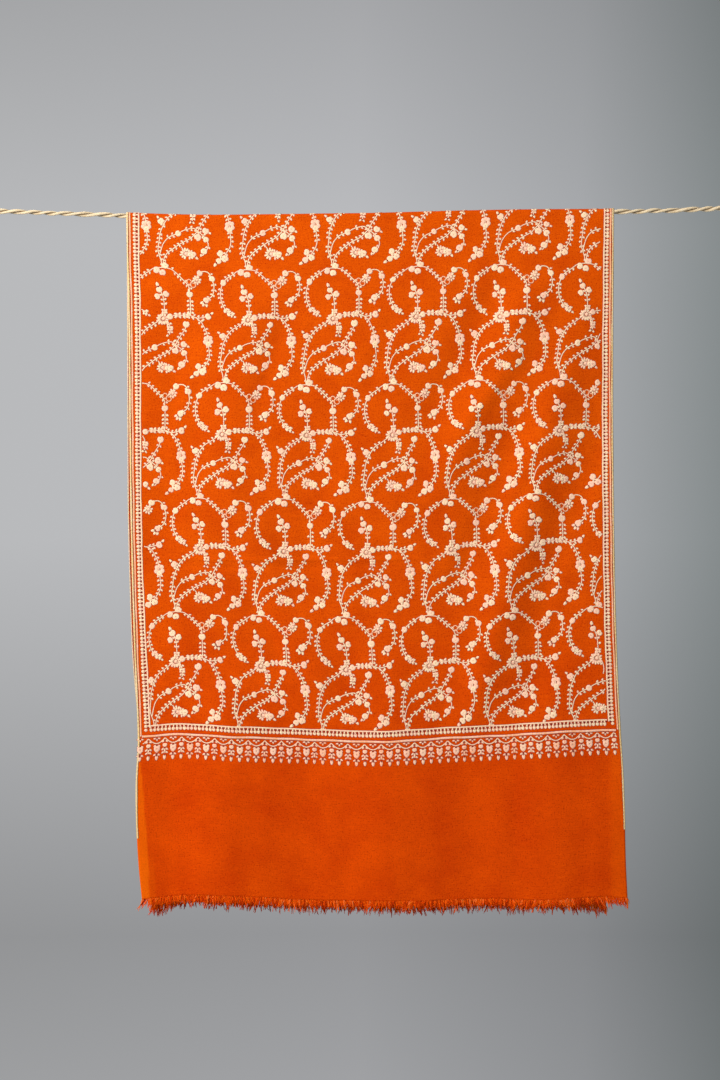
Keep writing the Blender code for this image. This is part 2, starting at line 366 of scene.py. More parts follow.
def add_node(material, kind, settings=None, inputs=None):
    """A node with its settings and its inputs. An input that is a socket is linked."""
    node = material.node_tree.nodes.new(kind)
    for name, value in (settings or {}).items():
        setattr(node, name, value)
    for name, value in (inputs or {}).items():
        if isinstance(value, bpy.types.NodeSocket):
            material.node_tree.links.new(value, node.inputs[name])
        else:
            node.inputs[name].default_value = value
    return node


def new_material(name, roughness, specular, sheen=0.0, sheen_tint=None):
    material = bpy.data.materials.new(name)
    material.use_nodes = True
    shader = material.node_tree.nodes["Principled BSDF"]
    shader.inputs["Roughness"].default_value = roughness
    shader.inputs["Specular IOR Level"].default_value = specular
    if sheen:
        shader.inputs["Sheen Weight"].default_value = sheen
        shader.inputs["Sheen Roughness"].default_value = 0.45
        shader.inputs["Sheen Tint"].default_value = linear(sheen_tint)
    return material, shader


def set_ramp(node, stops, smooth="LINEAR"):
    ramp = node.color_ramp
    ramp.interpolation = smooth
    while len(ramp.elements) > 1:
        ramp.elements.remove(ramp.elements[-1])
    for i, (place, colour) in enumerate(stops):
        element = ramp.elements[0] if i == 0 else ramp.elements.new(place)
        element.position = place
        element.color = colour


def pashmina_material():
    """Fine wool twill: matt, saturated, with slubs along the weft, a soft nap and light in the single layer."""
    material, shader = new_material("pashmina wool twill", 0.9, 0.03, 0.04, "#ff7a30")
    flat = add_node(material, "ShaderNodeUVMap", {"uv_map": "cloth"})
    weft_slubs = add_node(
        material, "ShaderNodeMapping", inputs={"Vector": flat.outputs["UV"], "Scale": (60, 620, 1)}
    )
    warp_slubs = add_node(
        material, "ShaderNodeMapping", inputs={"Vector": flat.outputs["UV"], "Scale": (700, 90, 1)}
    )
    weft = add_node(
        material, "ShaderNodeTexNoise", inputs={"Vector": weft_slubs.outputs["Vector"], "Scale": 1.0}
    )
    warp = add_node(
        material, "ShaderNodeTexNoise", inputs={"Vector": warp_slubs.outputs["Vector"], "Scale": 1.0}
    )
    threads = add_node(
        material,
        "ShaderNodeMix",
        {"data_type": "FLOAT"},
        {"Factor": 0.45, "A": weft.outputs["Fac"], "B": warp.outputs["Fac"]},
    )
    # The real twill line is 0.4 mm apart, which is too fine to show, so it is drawn at 1.3 mm
    twill_turn = add_node(
        material,
        "ShaderNodeMapping",
        inputs={"Vector": flat.outputs["UV"], "Rotation": (0, 0, math.radians(38))},
    )
    twill = add_node(
        material,
        "ShaderNodeTexWave",
        inputs={"Vector": twill_turn.outputs["Vector"], "Scale": 0.314 / 0.0013, "Distortion": 1.2},
    )
    # Soft painted patches of light and shade, at random places on the cloth
    light_patches = add_node(
        material, "ShaderNodeTexNoise", inputs={"Vector": flat.outputs["UV"], "Scale": 17.0, "Detail": 3.0}
    )
    wool = add_node(material, "ShaderNodeValToRGB", inputs={"Fac": threads.outputs["Result"]})
    set_ramp(
        wool,
        [
            (0.20, linear("#ca5602")),
            (0.42, linear("#e46403")),
            (0.60, linear("#ee6b04")),
            (0.82, linear("#fc8810")),
        ],
    )
    # Painted shade: the light falls off down the cloth, so the stole is painted yellower in its middle,
    # over the rope, and darker and redder towards its ends
    flat_parts = add_node(material, "ShaderNodeSeparateXYZ", inputs={"Vector": flat.outputs["UV"]})
    from_rope = add_node(
        material, "ShaderNodeMath", {"operation": "ABSOLUTE"}, {0: flat_parts.outputs["Y"]}
    )
    painted_light_falloff = add_node(material, "ShaderNodeValToRGB", inputs={"Fac": from_rope.outputs["Value"]})
    set_ramp(painted_light_falloff, [(0.0, linear("#fff6e8")), (0.5, linear("#fef0dc")), (0.8, linear("#fbd6bc"))])
    coloured = add_node(
        material,
        "ShaderNodeMix",
        {"data_type": "RGBA", "blend_type": "MULTIPLY"},
        {0: 1.0, 6: wool.outputs["Color"], 7: painted_light_falloff.outputs["Color"]},
    )
    # The wool is made lighter and darker in these patches: painted light and shade
    uneven = add_node(material, "ShaderNodeValToRGB", inputs={"Fac": light_patches.outputs["Fac"]})
    set_ramp(uneven, [(0.30, linear("#e6cec4")), (0.5, linear("#efe2db")), (0.70, linear("#f8f1ec"))])
    mottled = add_node(
        material,
        "ShaderNodeMix",
        {"data_type": "RGBA", "blend_type": "MULTIPLY"},
        {0: 1.0, 6: coloured.outputs[2], 7: uneven.outputs["Color"]},
    )
    # Burrs and neps in the yarn, drawn at 2 mm so that they show
    neps = add_node(
        material, "ShaderNodeTexNoise", inputs={"Vector": flat.outputs["UV"], "Scale": 520.0, "Detail": 1.0}
    )
    nep_tone = add_node(material, "ShaderNodeValToRGB", inputs={"Fac": neps.outputs["Fac"]})
    set_ramp(nep_tone, [(0.28, linear("#d09c84")), (0.42, linear("#f8ebe4")), (0.58, linear("#f8ebe4")),
                        (0.72, linear("#ffffff"))])
    specked = add_node(
        material,
        "ShaderNodeMix",
        {"data_type": "RGBA", "blend_type": "MULTIPLY"},
        {0: 1.0, 6: mottled.outputs[2], 7: nep_tone.outputs["Color"]},
    )
    light = add_node(material, "ShaderNodeAttribute", {"attribute_name": "light_through"})
    lit = add_node(
        material,
        "ShaderNodeMix",
        {"data_type": "RGBA"},
        {0: light.outputs["Fac"], 6: specked.outputs[2], 7: linear("#ff7a06")},
    )
    material.node_tree.links.new(lit.outputs[2], shader.inputs["Base Color"])
    weave = add_node(
        material,
        "ShaderNodeMath",
        {"operation": "MULTIPLY_ADD"},
        {0: twill.outputs["Fac"], 1: 0.35, 2: threads.outputs["Result"]},
    )
    bump = add_node(
        material,
        "ShaderNodeBump",
        inputs={"Height": weave.outputs["Value"], "Strength": 0.25, "Distance": 0.0003},
    )
    material.node_tree.links.new(bump.outputs["Normal"], shader.inputs["Normal"])
    return material


def needlework_material(name, stops, shadow):
    """Silky two-ply embroidery thread in satin stitch: smooth ridges that run across each motif."""
    material, shader = new_material(name, 0.6, 0.25, 0.1, "#ffe0c4")
    shade = add_node(material, "ShaderNodeAttribute", {"attribute_name": "shade"})
    # The rim attribute gives each place's painted shade: motifs' rims, leaves' feet, buds' eyes and the dark knots
    rim = add_node(material, "ShaderNodeAttribute", {"attribute_name": "rim"})
    painted_shade_share = add_node(material, "ShaderNodeValToRGB", inputs={"Fac": rim.outputs["Fac"]})
    set_ramp(painted_shade_share, [(0.1, linear("#000000")), (0.5, linear("#ffffff"))])
    stitch = add_node(material, "ShaderNodeUVMap", {"uv_map": "stitch"})
    # A thread is 0.25 mm thick. It is drawn at 1.4 mm so that it shows.
    threads = add_node(
        material,
        "ShaderNodeTexWave",
        {"bands_direction": "Y"},
        {"Vector": stitch.outputs["UV"], "Scale": 0.314 / 1.4, "Distortion": 0.8, "Detail": 1.0},
    )
    # The hand-dyed thread goes from cream to pale pink and back within each motif
    ply = add_node(
        material, "ShaderNodeTexNoise", inputs={"Vector": stitch.outputs["UV"], "Scale": 0.55, "Detail": 1.0}
    )
    coloured = add_node(
        material,
        "ShaderNodeMath",
        {"operation": "MULTIPLY_ADD"},
        {0: ply.outputs["Fac"], 1: 1.3, 2: shade.outputs["Fac"]},
    )
    centred = add_node(
        material, "ShaderNodeMath", {"operation": "SUBTRACT"}, {0: coloured.outputs["Value"], 1: 0.65}
    )
    hue = add_node(material, "ShaderNodeValToRGB", inputs={"Fac": centred.outputs["Value"]})
    set_ramp(hue, stops)
    # Painted shade in the grooves between the thread's ridges
    grooves = add_node(material, "ShaderNodeValToRGB", inputs={"Fac": threads.outputs["Fac"]})
    set_ramp(grooves, [(0.0, linear("#f8ceb4")), (0.45, linear("#ffffff"))])
    thread = add_node(
        material,
        "ShaderNodeMix",
        {"data_type": "RGBA", "blend_type": "MULTIPLY"},
        {0: 0.8, 6: hue.outputs["Color"], 7: grooves.outputs["Color"]},
    )
    # Painted shade: the thread takes the shadow colour as far as the rim attribute says
    sunk = add_node(
        material,
        "ShaderNodeMix",
        {"data_type": "RGBA"},
        {0: painted_shade_share.outputs["Color"], 6: thread.outputs[2], 7: linear(shadow)},
    )
    material.node_tree.links.new(sunk.outputs[2], shader.inputs["Base Color"])
    bump = add_node(
        material,
        "ShaderNodeBump",
        inputs={"Height": threads.outputs["Fac"], "Strength": 0.5, "Distance": 0.0003},
    )
    material.node_tree.links.new(bump.outputs["Normal"], shader.inputs["Normal"])
    return material


def fraying_material():
    """Loose warp threads: the same wool, each lock painted darker towards its tip as shade."""
    material, shader = new_material("frayed pashmina threads", 0.9, 0.06, 0.08, "#ff7a30")
    tip = add_node(material, "ShaderNodeAttribute", {"attribute_name": "shade"})
    place = add_node(material, "ShaderNodeTexCoord")
    fibres = add_node(
        material,
        "ShaderNodeTexNoise",
        inputs={"Vector": place.outputs["Object"], "Scale": 900.0, "Detail": 2.0},
    )
    mixed = add_node(
        material,
        "ShaderNodeMath",
        {"operation": "MULTIPLY_ADD"},
        {0: fibres.outputs["Fac"], 1: 0.35, 2: tip.outputs["Fac"]},
    )
    hue = add_node(material, "ShaderNodeValToRGB", inputs={"Fac": mixed.outputs["Value"]})
    set_ramp(
        hue,
        [
            (0.05, linear("#7a1800")),
            (0.30, linear("#b03000")),
            (0.55, linear("#de4c00")),
            (0.80, linear("#f26a0a")),
            (1.00, linear("#ff9a58")),
        ],
    )
    material.node_tree.links.new(hue.outputs["Color"], shader.inputs["Base Color"])
    return material


def jute_material(name, dark, middle, pale):
    """Laid jute: dry, dull bast fibres that run along each strand, with painted shade where the strands meet."""
    material, shader = new_material(name, 0.88, 0.2, 0.15, "#fff0d8")
    strand = add_node(material, "ShaderNodeUVMap", {"uv_map": "strand"})
    groove = add_node(material, "ShaderNodeAttribute", {"attribute_name": "groove"})
    stretched = add_node(
        material, "ShaderNodeMapping", inputs={"Vector": strand.outputs["UV"], "Scale": (1.6, 0.16, 1)}
    )
    fibres = add_node(
        material,
        "ShaderNodeTexNoise",
        inputs={"Vector": stretched.outputs["Vector"], "Scale": 1.0, "Detail": 4.0},
    )
    hue = add_node(material, "ShaderNodeValToRGB", inputs={"Fac": fibres.outputs["Fac"]})
    set_ramp(hue, [(0.3, linear(dark)), (0.5, linear(middle)), (0.68, linear(pale))])
    sunk = add_node(
        material,
        "ShaderNodeMix",
        {"data_type": "RGBA"},
        {0: groove.outputs["Fac"], 6: hue.outputs["Color"], 7: linear("#6e5638")},
    )
    material.node_tree.links.new(sunk.outputs[2], shader.inputs["Base Color"])
    bump = add_node(
        material,
        "ShaderNodeBump",
        inputs={"Height": fibres.outputs["Fac"], "Strength": 0.6, "Distance": 0.0005},
    )
    material.node_tree.links.new(bump.outputs["Normal"], shader.inputs["Normal"])
    return material


# Camera, light and floor

PHOTO_WIDTH, PHOTO_HEIGHT = 720, 1080
MM_PER_PIXEL = 1.44
VIEW_CENTRE = (-0.0144, -0.4676)
CAMERA_DISTANCE = 3.5
CLOTH_FACE = -0.0089  # where the front of the cloth hangs


def add_camera():
    bpy.ops.object.camera_add(
        location=(VIEW_CENTRE[0], -CAMERA_DISTANCE, VIEW_CENTRE[1]), rotation=(math.radians(90), 0, 0)
    )
    camera = bpy.context.object
    camera.name = "camera"
    seen_height = PHOTO_HEIGHT * MM_PER_PIXEL * MM
    camera.data.sensor_width = 36.0
    camera.data.lens = 36.0 * (CAMERA_DISTANCE + CLOTH_FACE) / seen_height
    bpy.context.scene.camera = camera


def add_soft_light(name, place, aim, width, height, power, colour):
    bpy.ops.object.light_add(type="AREA", location=place)
    light = bpy.context.object
    light.name = name
    light.data.shape = "RECTANGLE"
    light.data.size = width
    light.data.size_y = height
    light.data.energy = power
    light.data.color = linear(colour)[:3]
    run = [a - b for a, b in zip(aim, place)]
    turn = math.atan2(run[0], -run[1])
    tilt = math.atan2(math.hypot(run[0], run[1]), -run[2])
    light.rotation_euler = (tilt, 0.0, turn + math.pi)


def add_studio():
    """A plain grey studio, brighter on the left, with soft lights and a pale floor far below."""
    world = bpy.data.worlds.new("studio")
    bpy.context.scene.world = world
    world.use_nodes = True
    tree = world.node_tree
    look = tree.nodes.new("ShaderNodeTexCoord")
    parts = tree.nodes.new("ShaderNodeSeparateXYZ")
    tree.links.new(look.outputs["Generated"], parts.inputs["Vector"])

    def ramp_along(axis, low, high, stops):
        reach = tree.nodes.new("ShaderNodeMapRange")
        reach.inputs["From Min"].default_value = low
        reach.inputs["From Max"].default_value = high
        tree.links.new(parts.outputs[axis], reach.inputs["Value"])
        ramp = tree.nodes.new("ShaderNodeValToRGB")
        tree.links.new(reach.outputs["Result"], ramp.inputs["Fac"])
        set_ramp(ramp, stops)
        return ramp

    across_greys = ((0.0, "#b9babc"), (0.5, "#bbbcbf"), (0.8, "#a8aaad"), (1.0, "#858b8c"))
    up_greys = ((0.0, "#e2e2e2"), (0.18, "#cccccc"), (0.5, "#ffffff"), (0.75, "#ffffff"), (1.0, "#d8d8d8"))
    across = ramp_along("X", -0.15, 0.15, [(place, linear(grey)) for place, grey in across_greys])
    up = ramp_along("Z", -0.25, 0.25, [(place, linear(grey)) for place, grey in up_greys])
    both = tree.nodes.new("ShaderNodeMix")
    both.data_type = "RGBA"
    both.blend_type = "MULTIPLY"
    both.inputs[0].default_value = 1.0
    tree.links.new(across.outputs["Color"], both.inputs[6])
    tree.links.new(up.outputs["Color"], both.inputs[7])
    tree.links.new(both.outputs[2], tree.nodes["Background"].inputs["Color"])
    tree.nodes["Background"].inputs["Strength"].default_value = 1.0

    add_soft_light("key light", (-2.1, -2.15, 1.15), (0, 0, -0.42), 1.1, 1.1, 129, "#fff7ec")
    add_soft_light("fill light", (2.2, -3.0, 0.2), (0, 0, -0.5), 1.8, 1.8, 12, "#fff6ec")
    add_soft_light("back light", (-1.2, 2.6, 1.2), (0, 0, -0.4), 1.6, 1.6, 40, "#ffffff")

    bpy.ops.mesh.primitive_circle_add(
        vertices=96, radius=2.2, fill_type="NGON", location=(0, 0, -1.75), calc_uvs=False
    )
    floor = bpy.context.object
    floor.name = "studio_floor"
    painted, shader = new_material("painted studio floor", 0.7, 0.3)
    place = add_node(painted, "ShaderNodeTexCoord")
    mottle = add_node(
        painted, "ShaderNodeTexNoise", inputs={"Vector": place.outputs["Object"], "Scale": 2.0}
    )
    hue = add_node(painted, "ShaderNodeValToRGB", inputs={"Fac": mottle.outputs["Fac"]})
    set_ramp(hue, [(0.3, linear("#c6c8c8")), (0.7, linear("#d0d2d2"))])
    painted.node_tree.links.new(hue.outputs["Color"], shader.inputs["Base Color"])
    floor.data.materials.append(painted)
    bpy.context.scene.view_settings.view_transform = "Standard"


# Making pieces from arrays


def new_piece(name, points, faces, material, uvs=None, values=None):
    """A smooth mesh from its points and faces, with UV maps and attributes that have a value a point."""
    mesh = bpy.data.meshes.new(name)
    corners = faces.shape[1]
    mesh.vertices.add(len(points))
    mesh.vertices.foreach_set("co", np.ascontiguousarray(points, dtype=np.float32).ravel())
    mesh.loops.add(faces.size)
    mesh.loops.foreach_set("vertex_index", faces.astype(np.int32).ravel())
    mesh.polygons.add(len(faces))
    mesh.polygons.foreach_set("loop_start", np.arange(len(faces), dtype=np.int32) * corners)
    mesh.update(calc_edges=True)
    mesh.shade_smooth()
    for map_name, places in (uvs or {}).items():
        layer = mesh.uv_layers.new(name=map_name)
        layer.data.foreach_set("uv", places[faces.ravel()].astype(np.float32).ravel())
    for value_name, numbers in (values or {}).items():
        attribute = mesh.attributes.new(value_name, "FLOAT", "POINT")
        attribute.data.foreach_set("value", numbers.astype(np.float32))
    mesh.validate()
    piece = bpy.data.objects.new(name, mesh)
    bpy.context.scene.collection.objects.link(piece)
    mesh.materials.append(material)
    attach(piece, "root")
    return piece


def fit_to_map(places):
    """Flat places brought into a UV map's square."""
    low, high = places.min(axis=0), places.max(axis=0)
    return 0.004 + 0.992 * (places - low) / (high - low)


def tube_faces(rings, sides, closed=False):
    """The faces between rings of points, each ring joined to the next."""
    ring = np.arange(rings - 1)[:, None] * sides
    side = np.arange(sides)[None, :]
    following = (side + 1) % sides
    return np.stack([ring + side, ring + following, ring + following + sides, ring + side + sides], -1).reshape(
        -1, 4
    )


STRAND_RADIUS = 2.05
STRAND_OFFSET = 1.65
LAY_PITCH = 47.0  # for a strand to go once round, so a lump shows every half of it
STRAND_SIDES = 8
RING_STEP = 1.8


def strand_points(route_mm, phase, chance):
    """One strand laid round the rope's route, with its small unevenness, and what its material reads."""
    gone = np.concatenate([[0], np.cumsum(np.linalg.norm(np.diff(route_mm, axis=0), axis=1))])
    slack = 0.55 * np.sin(gone / 43.0) + 0.4 * np.sin(gone / 17.0 + 1.0)
    turn = 2 * math.pi * gone / LAY_PITCH + phase + slack
    along = np.gradient(route_mm, axis=0)
    along /= np.linalg.norm(along, axis=1, keepdims=True)
    side = np.cross(along, np.array([0.0, 1.0, 0.0]))
    up = np.cross(side, along)
    lumps = 1 + 0.08 * np.sin(gone / 5.3 + phase) + 0.1 * np.sin(gone / 23.0 + 2 * phase)
    lumps += 0.05 * chance.standard_normal(len(gone)).cumsum() / 9
    lumps = np.clip(lumps, 0.8, 1.14)
    out = side * np.cos(turn)[:, None] + up * np.sin(turn)[:, None]
    centre = route_mm + out * (STRAND_OFFSET * np.clip(lumps, 0.94, 1.06))[:, None]
    around = 2 * math.pi * np.arange(STRAND_SIDES) / STRAND_SIDES
    # The section's first corner faces out from the rope, so a corner's turn says how deep in the lay it is
    sideways = np.cross(along, out)
    ring = (
        np.cos(around)[None, :, None] * out[:, None, :] + np.sin(around)[None, :, None] * sideways[:, None, :]
    )
    radius = STRAND_RADIUS * lumps
    points = centre[:, None, :] + ring * radius[:, None, None]
    # Corners deep in the lay, where the strands meet, get painted shade
    sunk = np.broadcast_to(ease((-np.cos(around) + 0.25) / 0.9), points.shape[:2])
    uv = np.stack(
        [
            np.broadcast_to(around * STRAND_RADIUS, points.shape[:2]),
            np.broadcast_to((gone + phase * 40)[:, None], points.shape[:2]),
        ],
        -1,
    )
    return points, sunk, uv


def laid_rope(name, route, material, seed, fibres):
    """Two strands laid up on a route in metres, with stray fibres that stand off it."""
    chance = np.random.default_rng(seed)
    route_mm = np.asarray(route) / MM
    points, faces, sunk, uvs, count = [], [], [], [], 0
    for phase in (0.0, math.pi):
        ring, groove, uv = strand_points(route_mm, phase + 0.6, chance)
        rings = len(ring)
        caps = np.stack([ring[0].mean(axis=0), ring[-1].mean(axis=0)])
        points += [ring.reshape(-1, 3), caps]
        sunk += [groove.ravel(), np.full(2, 0.6)]
        uvs += [uv.reshape(-1, 2), np.stack([uv[0].mean(axis=0), uv[-1].mean(axis=0)])]
        quads = tube_faces(rings, STRAND_SIDES) + count
        tris = np.concatenate([quads[:, [0, 1, 2]], quads[:, [0, 2, 3]]])
        side = np.arange(STRAND_SIDES)
        following = (side + 1) % STRAND_SIDES
        start = np.stack([following, side, np.full(STRAND_SIDES, rings * STRAND_SIDES)], -1) + count
        last = (rings - 1) * STRAND_SIDES
        end = np.stack([side + last, following + last, np.full(STRAND_SIDES, rings * STRAND_SIDES + 1)], -1)
        faces += [tris, start, end + count]
        count += rings * STRAND_SIDES + 2
    for _ in range(fibres):
        at = chance.integers(3, len(route_mm) - 12)
        turn = chance.uniform(0, 2 * math.pi)
        length = chance.uniform(5, 15)
        reach = chance.uniform(0.4, 2.0)
        along = route_mm[at + 6] - route_mm[at]
        along /= np.linalg.norm(along)
        out = np.array([0.0, math.cos(turn), math.sin(turn)])
        steps = np.linspace(0, 1, 5)
        line = (
            route_mm[at]
            + np.outer(steps * length, along)
            + np.outer(3.0 + reach * np.sin(steps * math.pi) ** 0.8, out)
            + np.outer(np.sin(steps * 3 + turn), np.cross(along, out)) * 0.8
        )
        corner = 2 * math.pi * np.arange(3) / 3
        thick = 0.11 * (1.15 - steps)
        tube = line[:, None, :] + (
            np.cos(corner)[None, :, None] * out + np.sin(corner)[None, :, None] * np.cross(along, out)
        ) * thick[:, None, None]
        points.append(tube.reshape(-1, 3))
        sunk.append(np.zeros(15))
        uvs.append(np.stack([np.tile(corner, 5), np.repeat(steps * length, 3)], -1))
        quads = tube_faces(5, 3)
        faces.append(np.concatenate([quads[:, [0, 1, 2]], quads[:, [0, 2, 3]]]) + count)
        count += 15
    return new_piece(
        name,
        np.concatenate(points) * MM,
        np.concatenate(faces),
        material,
        {"strand": np.concatenate(uvs)},
        {"groove": np.concatenate(sunk)},
    )


def rope_route():
    places = np.arange(LEFT_END, RIGHT_END, RING_STEP * MM)
    places = np.append(places, RIGHT_END)
    return np.stack([places, np.zeros_like(places), rope_height(places)], -1)


def eye_route(end, outwards):
    """The same loop as the CAD eye's."""
    start = end + outwards * (2 * SEAM_GAP + SEIZING_LENGTH)
    turn = np.linspace(0, 2 * math.pi, 75)
    leg = ROPE_RADIUS + SEAM_GAP
    spread = 1.5 * EYE_SPREAD * np.sin(turn) * np.sin(turn / 2) ** 2
    x = start + outwards * EYE_LENGTH * np.sin(turn / 2)
    z = rope_height(np.array(end)) + leg * np.cos(turn / 2) + spread
    return np.stack([x, np.zeros_like(x), z], -1)


def wound_seizing(name, end, outwards, material):
    """Twine wound side by side round both legs of the eye: one turn, repeated along the rope."""
    turns, twine = 8, 0.9 * MM
    first = end + outwards * (SEAM_GAP + twine)
    pitch = (SEIZING_LENGTH - 2 * twine) / (turns - 1)
    bpy.ops.object.select_all(action="DESELECT")
    bpy.ops.mesh.primitive_torus_add(
        major_radius=0.0085 - twine,
        minor_radius=twine,
        major_segments=28,
        minor_segments=8,
        location=(first, 0, float(rope_height(np.array(end)))),
        rotation=(0, math.radians(90), 0),
    )
    seizing = bpy.context.object
    seizing.name = name
    bpy.ops.object.transform_apply(location=True, rotation=True, scale=True)
    for vertex in seizing.data.vertices:
        around = math.atan2(vertex.co.z - float(rope_height(np.array(end))), vertex.co.y)
        vertex.co.x += outwards * pitch * 0.35 * math.sin(around / 2)
    row = seizing.modifiers.new("turns", "ARRAY")
    row.count = turns
    row.use_relative_offset = False
    row.use_constant_offset = True
    row.constant_offset_displace = (outwards * pitch, 0, 0)
    bpy.ops.object.modifier_apply(modifier="turns")
    bpy.ops.object.shade_smooth()
    mesh = seizing.data
    places = np.empty(len(mesh.vertices) * 3)
    mesh.vertices.foreach_get("co", places)
    places = places.reshape(-1, 3) / MM
    around = np.arctan2(places[:, 2], places[:, 1])
    corners = np.empty(len(mesh.loops), dtype=np.int32)
    mesh.loops.foreach_get("vertex_index", corners)
    while mesh.uv_layers:
        mesh.uv_layers.remove(mesh.uv_layers[0])
    layer = mesh.uv_layers.new(name="strand")
    strand = np.stack([places[:, 0] * 2, around * 8.0], -1)
    layer.data.foreach_set("uv", strand[corners].astype(np.float32).ravel())
    mesh.attributes.new("groove", "FLOAT", "POINT")
    mesh.materials.append(material)
    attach(seizing, "root")
    return seizing


# The woven cloth


def cloth_rows():
    """Places along the cloth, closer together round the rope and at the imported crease."""
    rows = [-CUT_EDGES[BACK]]
    while rows[-1] < CUT_EDGES[FRONT]:
        at = abs(rows[-1] + 1)
        gap = 7.4
        if at < 14:
            gap = 1.6
        elif at < 30:
            gap = 4.0
        elif 488 < at < 526:
            gap = 1.7
        rows.append(rows[-1] + gap)
    rows[-1] = CUT_EDGES[FRONT]
    return np.array(rows)


def light_through(across, path):
    """How much light from behind shows where a fall hangs in one layer, past the other one's edge."""
    points = cloth_middle(across, path)
    depth = -points[..., 2] / MM
    x = points[..., 0] / MM
    past_left = read_smoothly(EDGES[BACK], depth, "left") - x
    past_right = x - read_smoothly(EDGES[BACK], depth, "right")
    below_border = ease((path - 770) / 20)
    turned_in = 0.12 * ease((past_left + 9) / 2) * ease((depth - 900) / 60)
    return below_border * (0.34 * ease(past_left / 1.2) + turned_in + 0.12 * ease(past_right / 12))


def weave_cloth(material):
    """The whole stole as one closed shell over the rope: its outer side, its inner side and its rim."""
    edge = np.arange(0, 26, 2.6)
    columns = np.concatenate([-HALF_WIDTH + edge, np.linspace(-324, 324, 85), HALF_WIDTH - edge[::-1]])
    rows = cloth_rows()
    across, path = np.meshgrid(columns, rows)
    half = CLOTH_THICKNESS / 2
    outer = on_cloth(across, path, half)
    inner = on_cloth(across, path, -half)
    high, wide = across.shape
    cell = (np.arange(high - 1)[:, None] * wide + np.arange(wide - 1)[None, :]).ravel()
    sheet = np.stack([cell, cell + wide, cell + wide + 1, cell + 1], -1)
    total = high * wide
    rim = np.concatenate(
        [
            np.arange(wide - 1),
            np.arange(high - 1) * wide + wide - 1,
            total - 1 - np.arange(wide - 1),
            (high - 1 - np.arange(high - 1)) * wide,
        ]
    )
    following = np.roll(rim, -1)
    around = np.stack([rim, following, following + total, rim + total], -1)
    faces = np.concatenate([sheet, sheet[:, ::-1] + total, around])
    flat = np.stack([across.ravel(), path.ravel()], -1)
    bake = fit_to_map(flat)
    halves = np.concatenate([bake * (0.5, 1), bake * (0.5, 1) + (0.5, 0)])
    shown = light_through(across, path).ravel()
    return new_piece(
        "shawl_cloth",
        np.concatenate([outer.reshape(-1, 3), inner.reshape(-1, 3)]),
        faces,
        material,
        {"OFBake": halves, "cloth": np.concatenate([flat, flat]) * MM},
        {"light_through": np.concatenate([shown, shown])},
    )


# Stitched forms, modelled once and copied

Form = namedtuple("Form", "points faces sunk outwards")
RIM_WIDTH = 0.65  # the painted shade round each motif, in the dip where the thread goes down into the cloth
EYE_PLACE = 0.1  # how far a bud's eye lies from its middle, towards its notch


def raised_form(outline, sides, steps, sunk, eye=0.0, foot=0.0):
    """A patch of satin stitch one unit long. Its rim lies on the cloth, and each step (inwards, up) rises
    from it. outline gives the rim's place at a turn, the next argument how much painted shade each ring
    has, and foot how much of its foot is in painted shade too."""
    bpy.ops.object.select_all(action="DESELECT")
    bpy.ops.mesh.primitive_circle_add(vertices=sides, radius=0.5, fill_type="NGON", calc_uvs=False)
    patch = bpy.context.object
    for vertex in patch.data.vertices:
        vertex.co.x, vertex.co.y = outline(math.atan2(vertex.co.y, vertex.co.x))
    bpy.ops.object.mode_set(mode="EDIT")
    bpy.ops.mesh.select_all(action="SELECT")
    bpy.ops.mesh.normals_make_consistent(inside=False)
    for inwards, up in steps:
        bpy.ops.mesh.inset(thickness=inwards, depth=0.0)
        bpy.ops.transform.translate(value=(0, 0, up))
    bpy.ops.mesh.poke(offset=0.0)
    bpy.ops.mesh.select_all(action="SELECT")
    bpy.ops.mesh.quads_convert_to_tris()
    bpy.ops.object.mode_set(mode="OBJECT")
    mesh = patch.data
    points = np.array([vertex.co[:] for vertex in mesh.vertices])
    faces = np.array([face.vertices[:] for face in mesh.polygons])
    middle = points[:sides, :2].mean(axis=0)
    outwards = np.zeros((len(points), 2))
    outwards[:sides] = points[:sides, :2] - middle
    outwards[:sides] /= np.linalg.norm(outwards[:sides], axis=1, keepdims=True)
    shade = np.concatenate([np.full(sides, value) for value in sunk[:-1]] + [[sunk[-1]]])
    if foot:
        shade[points[:, 1] < foot] = 1.0
    points[-1, 2] += 0.12 if sunk[-1] < 0.3 else -0.3
    points[shade > 0.3, 1] += eye * (np.flatnonzero(shade > 0.3) >= sides)
    a, b, c = (points[faces[:, i]] for i in range(3))
    turned = np.cross(b - a, c - a)[:, 2] < -1e-12
    faces[turned] = faces[turned][:, ::-1]
    bpy.data.objects.remove(patch, do_unlink=True)
    return Form(points, faces, shade, outwards)


def almond(turn):
    """A leaf: pointed at its foot and tip, and full between."""
    y = 0.5 + 0.5 * math.sin(turn)
    full = max(0.0, math.sin(math.pi * min(max(y, 0.0), 1.0))) ** 0.62
    return 0.5 * full * (1 if math.cos(turn) >= 0 else -1), y


def round_petal(turn):
    """A petal: narrow at its foot and round at its tip."""
    y = 0.5 + 0.5 * math.sin(turn)
    return 0.5 * math.cos(turn) * (0.5 + 0.5 * y), y


def disc(turn):
    """A bud, with a notch where its petals part."""
    notch = 0.3 * math.exp(-(((turn - math.pi / 2) / 0.3) ** 2))
    return 0.5 * (1 - notch) * math.cos(turn), 0.5 * (1 - notch) * math.sin(turn)


def oval(turn):
    return 0.5 * math.cos(turn), 0.5 * math.sin(turn)


def heart(turn):
    """A heart-shaped bud that hangs point down."""
    lobe = 0.26 * math.exp(-(((turn - math.pi / 2) / 0.4) ** 2))
    point = 0.24 * math.exp(-(((turn + math.pi / 2) / 0.5) ** 2))
    return 0.5 * (1 - lobe) * math.cos(turn), 0.5 * (1 - lobe + point) * math.sin(turn)


def diamond(turn):
    """Two small petals side by side: widest in the middle and blunt at both ends."""
    x, y = math.cos(turn), math.sin(turn)
    return 0.5 * math.copysign(abs(x) ** 1.25, x), 0.5 * math.copysign(abs(y) ** 1.25, y)
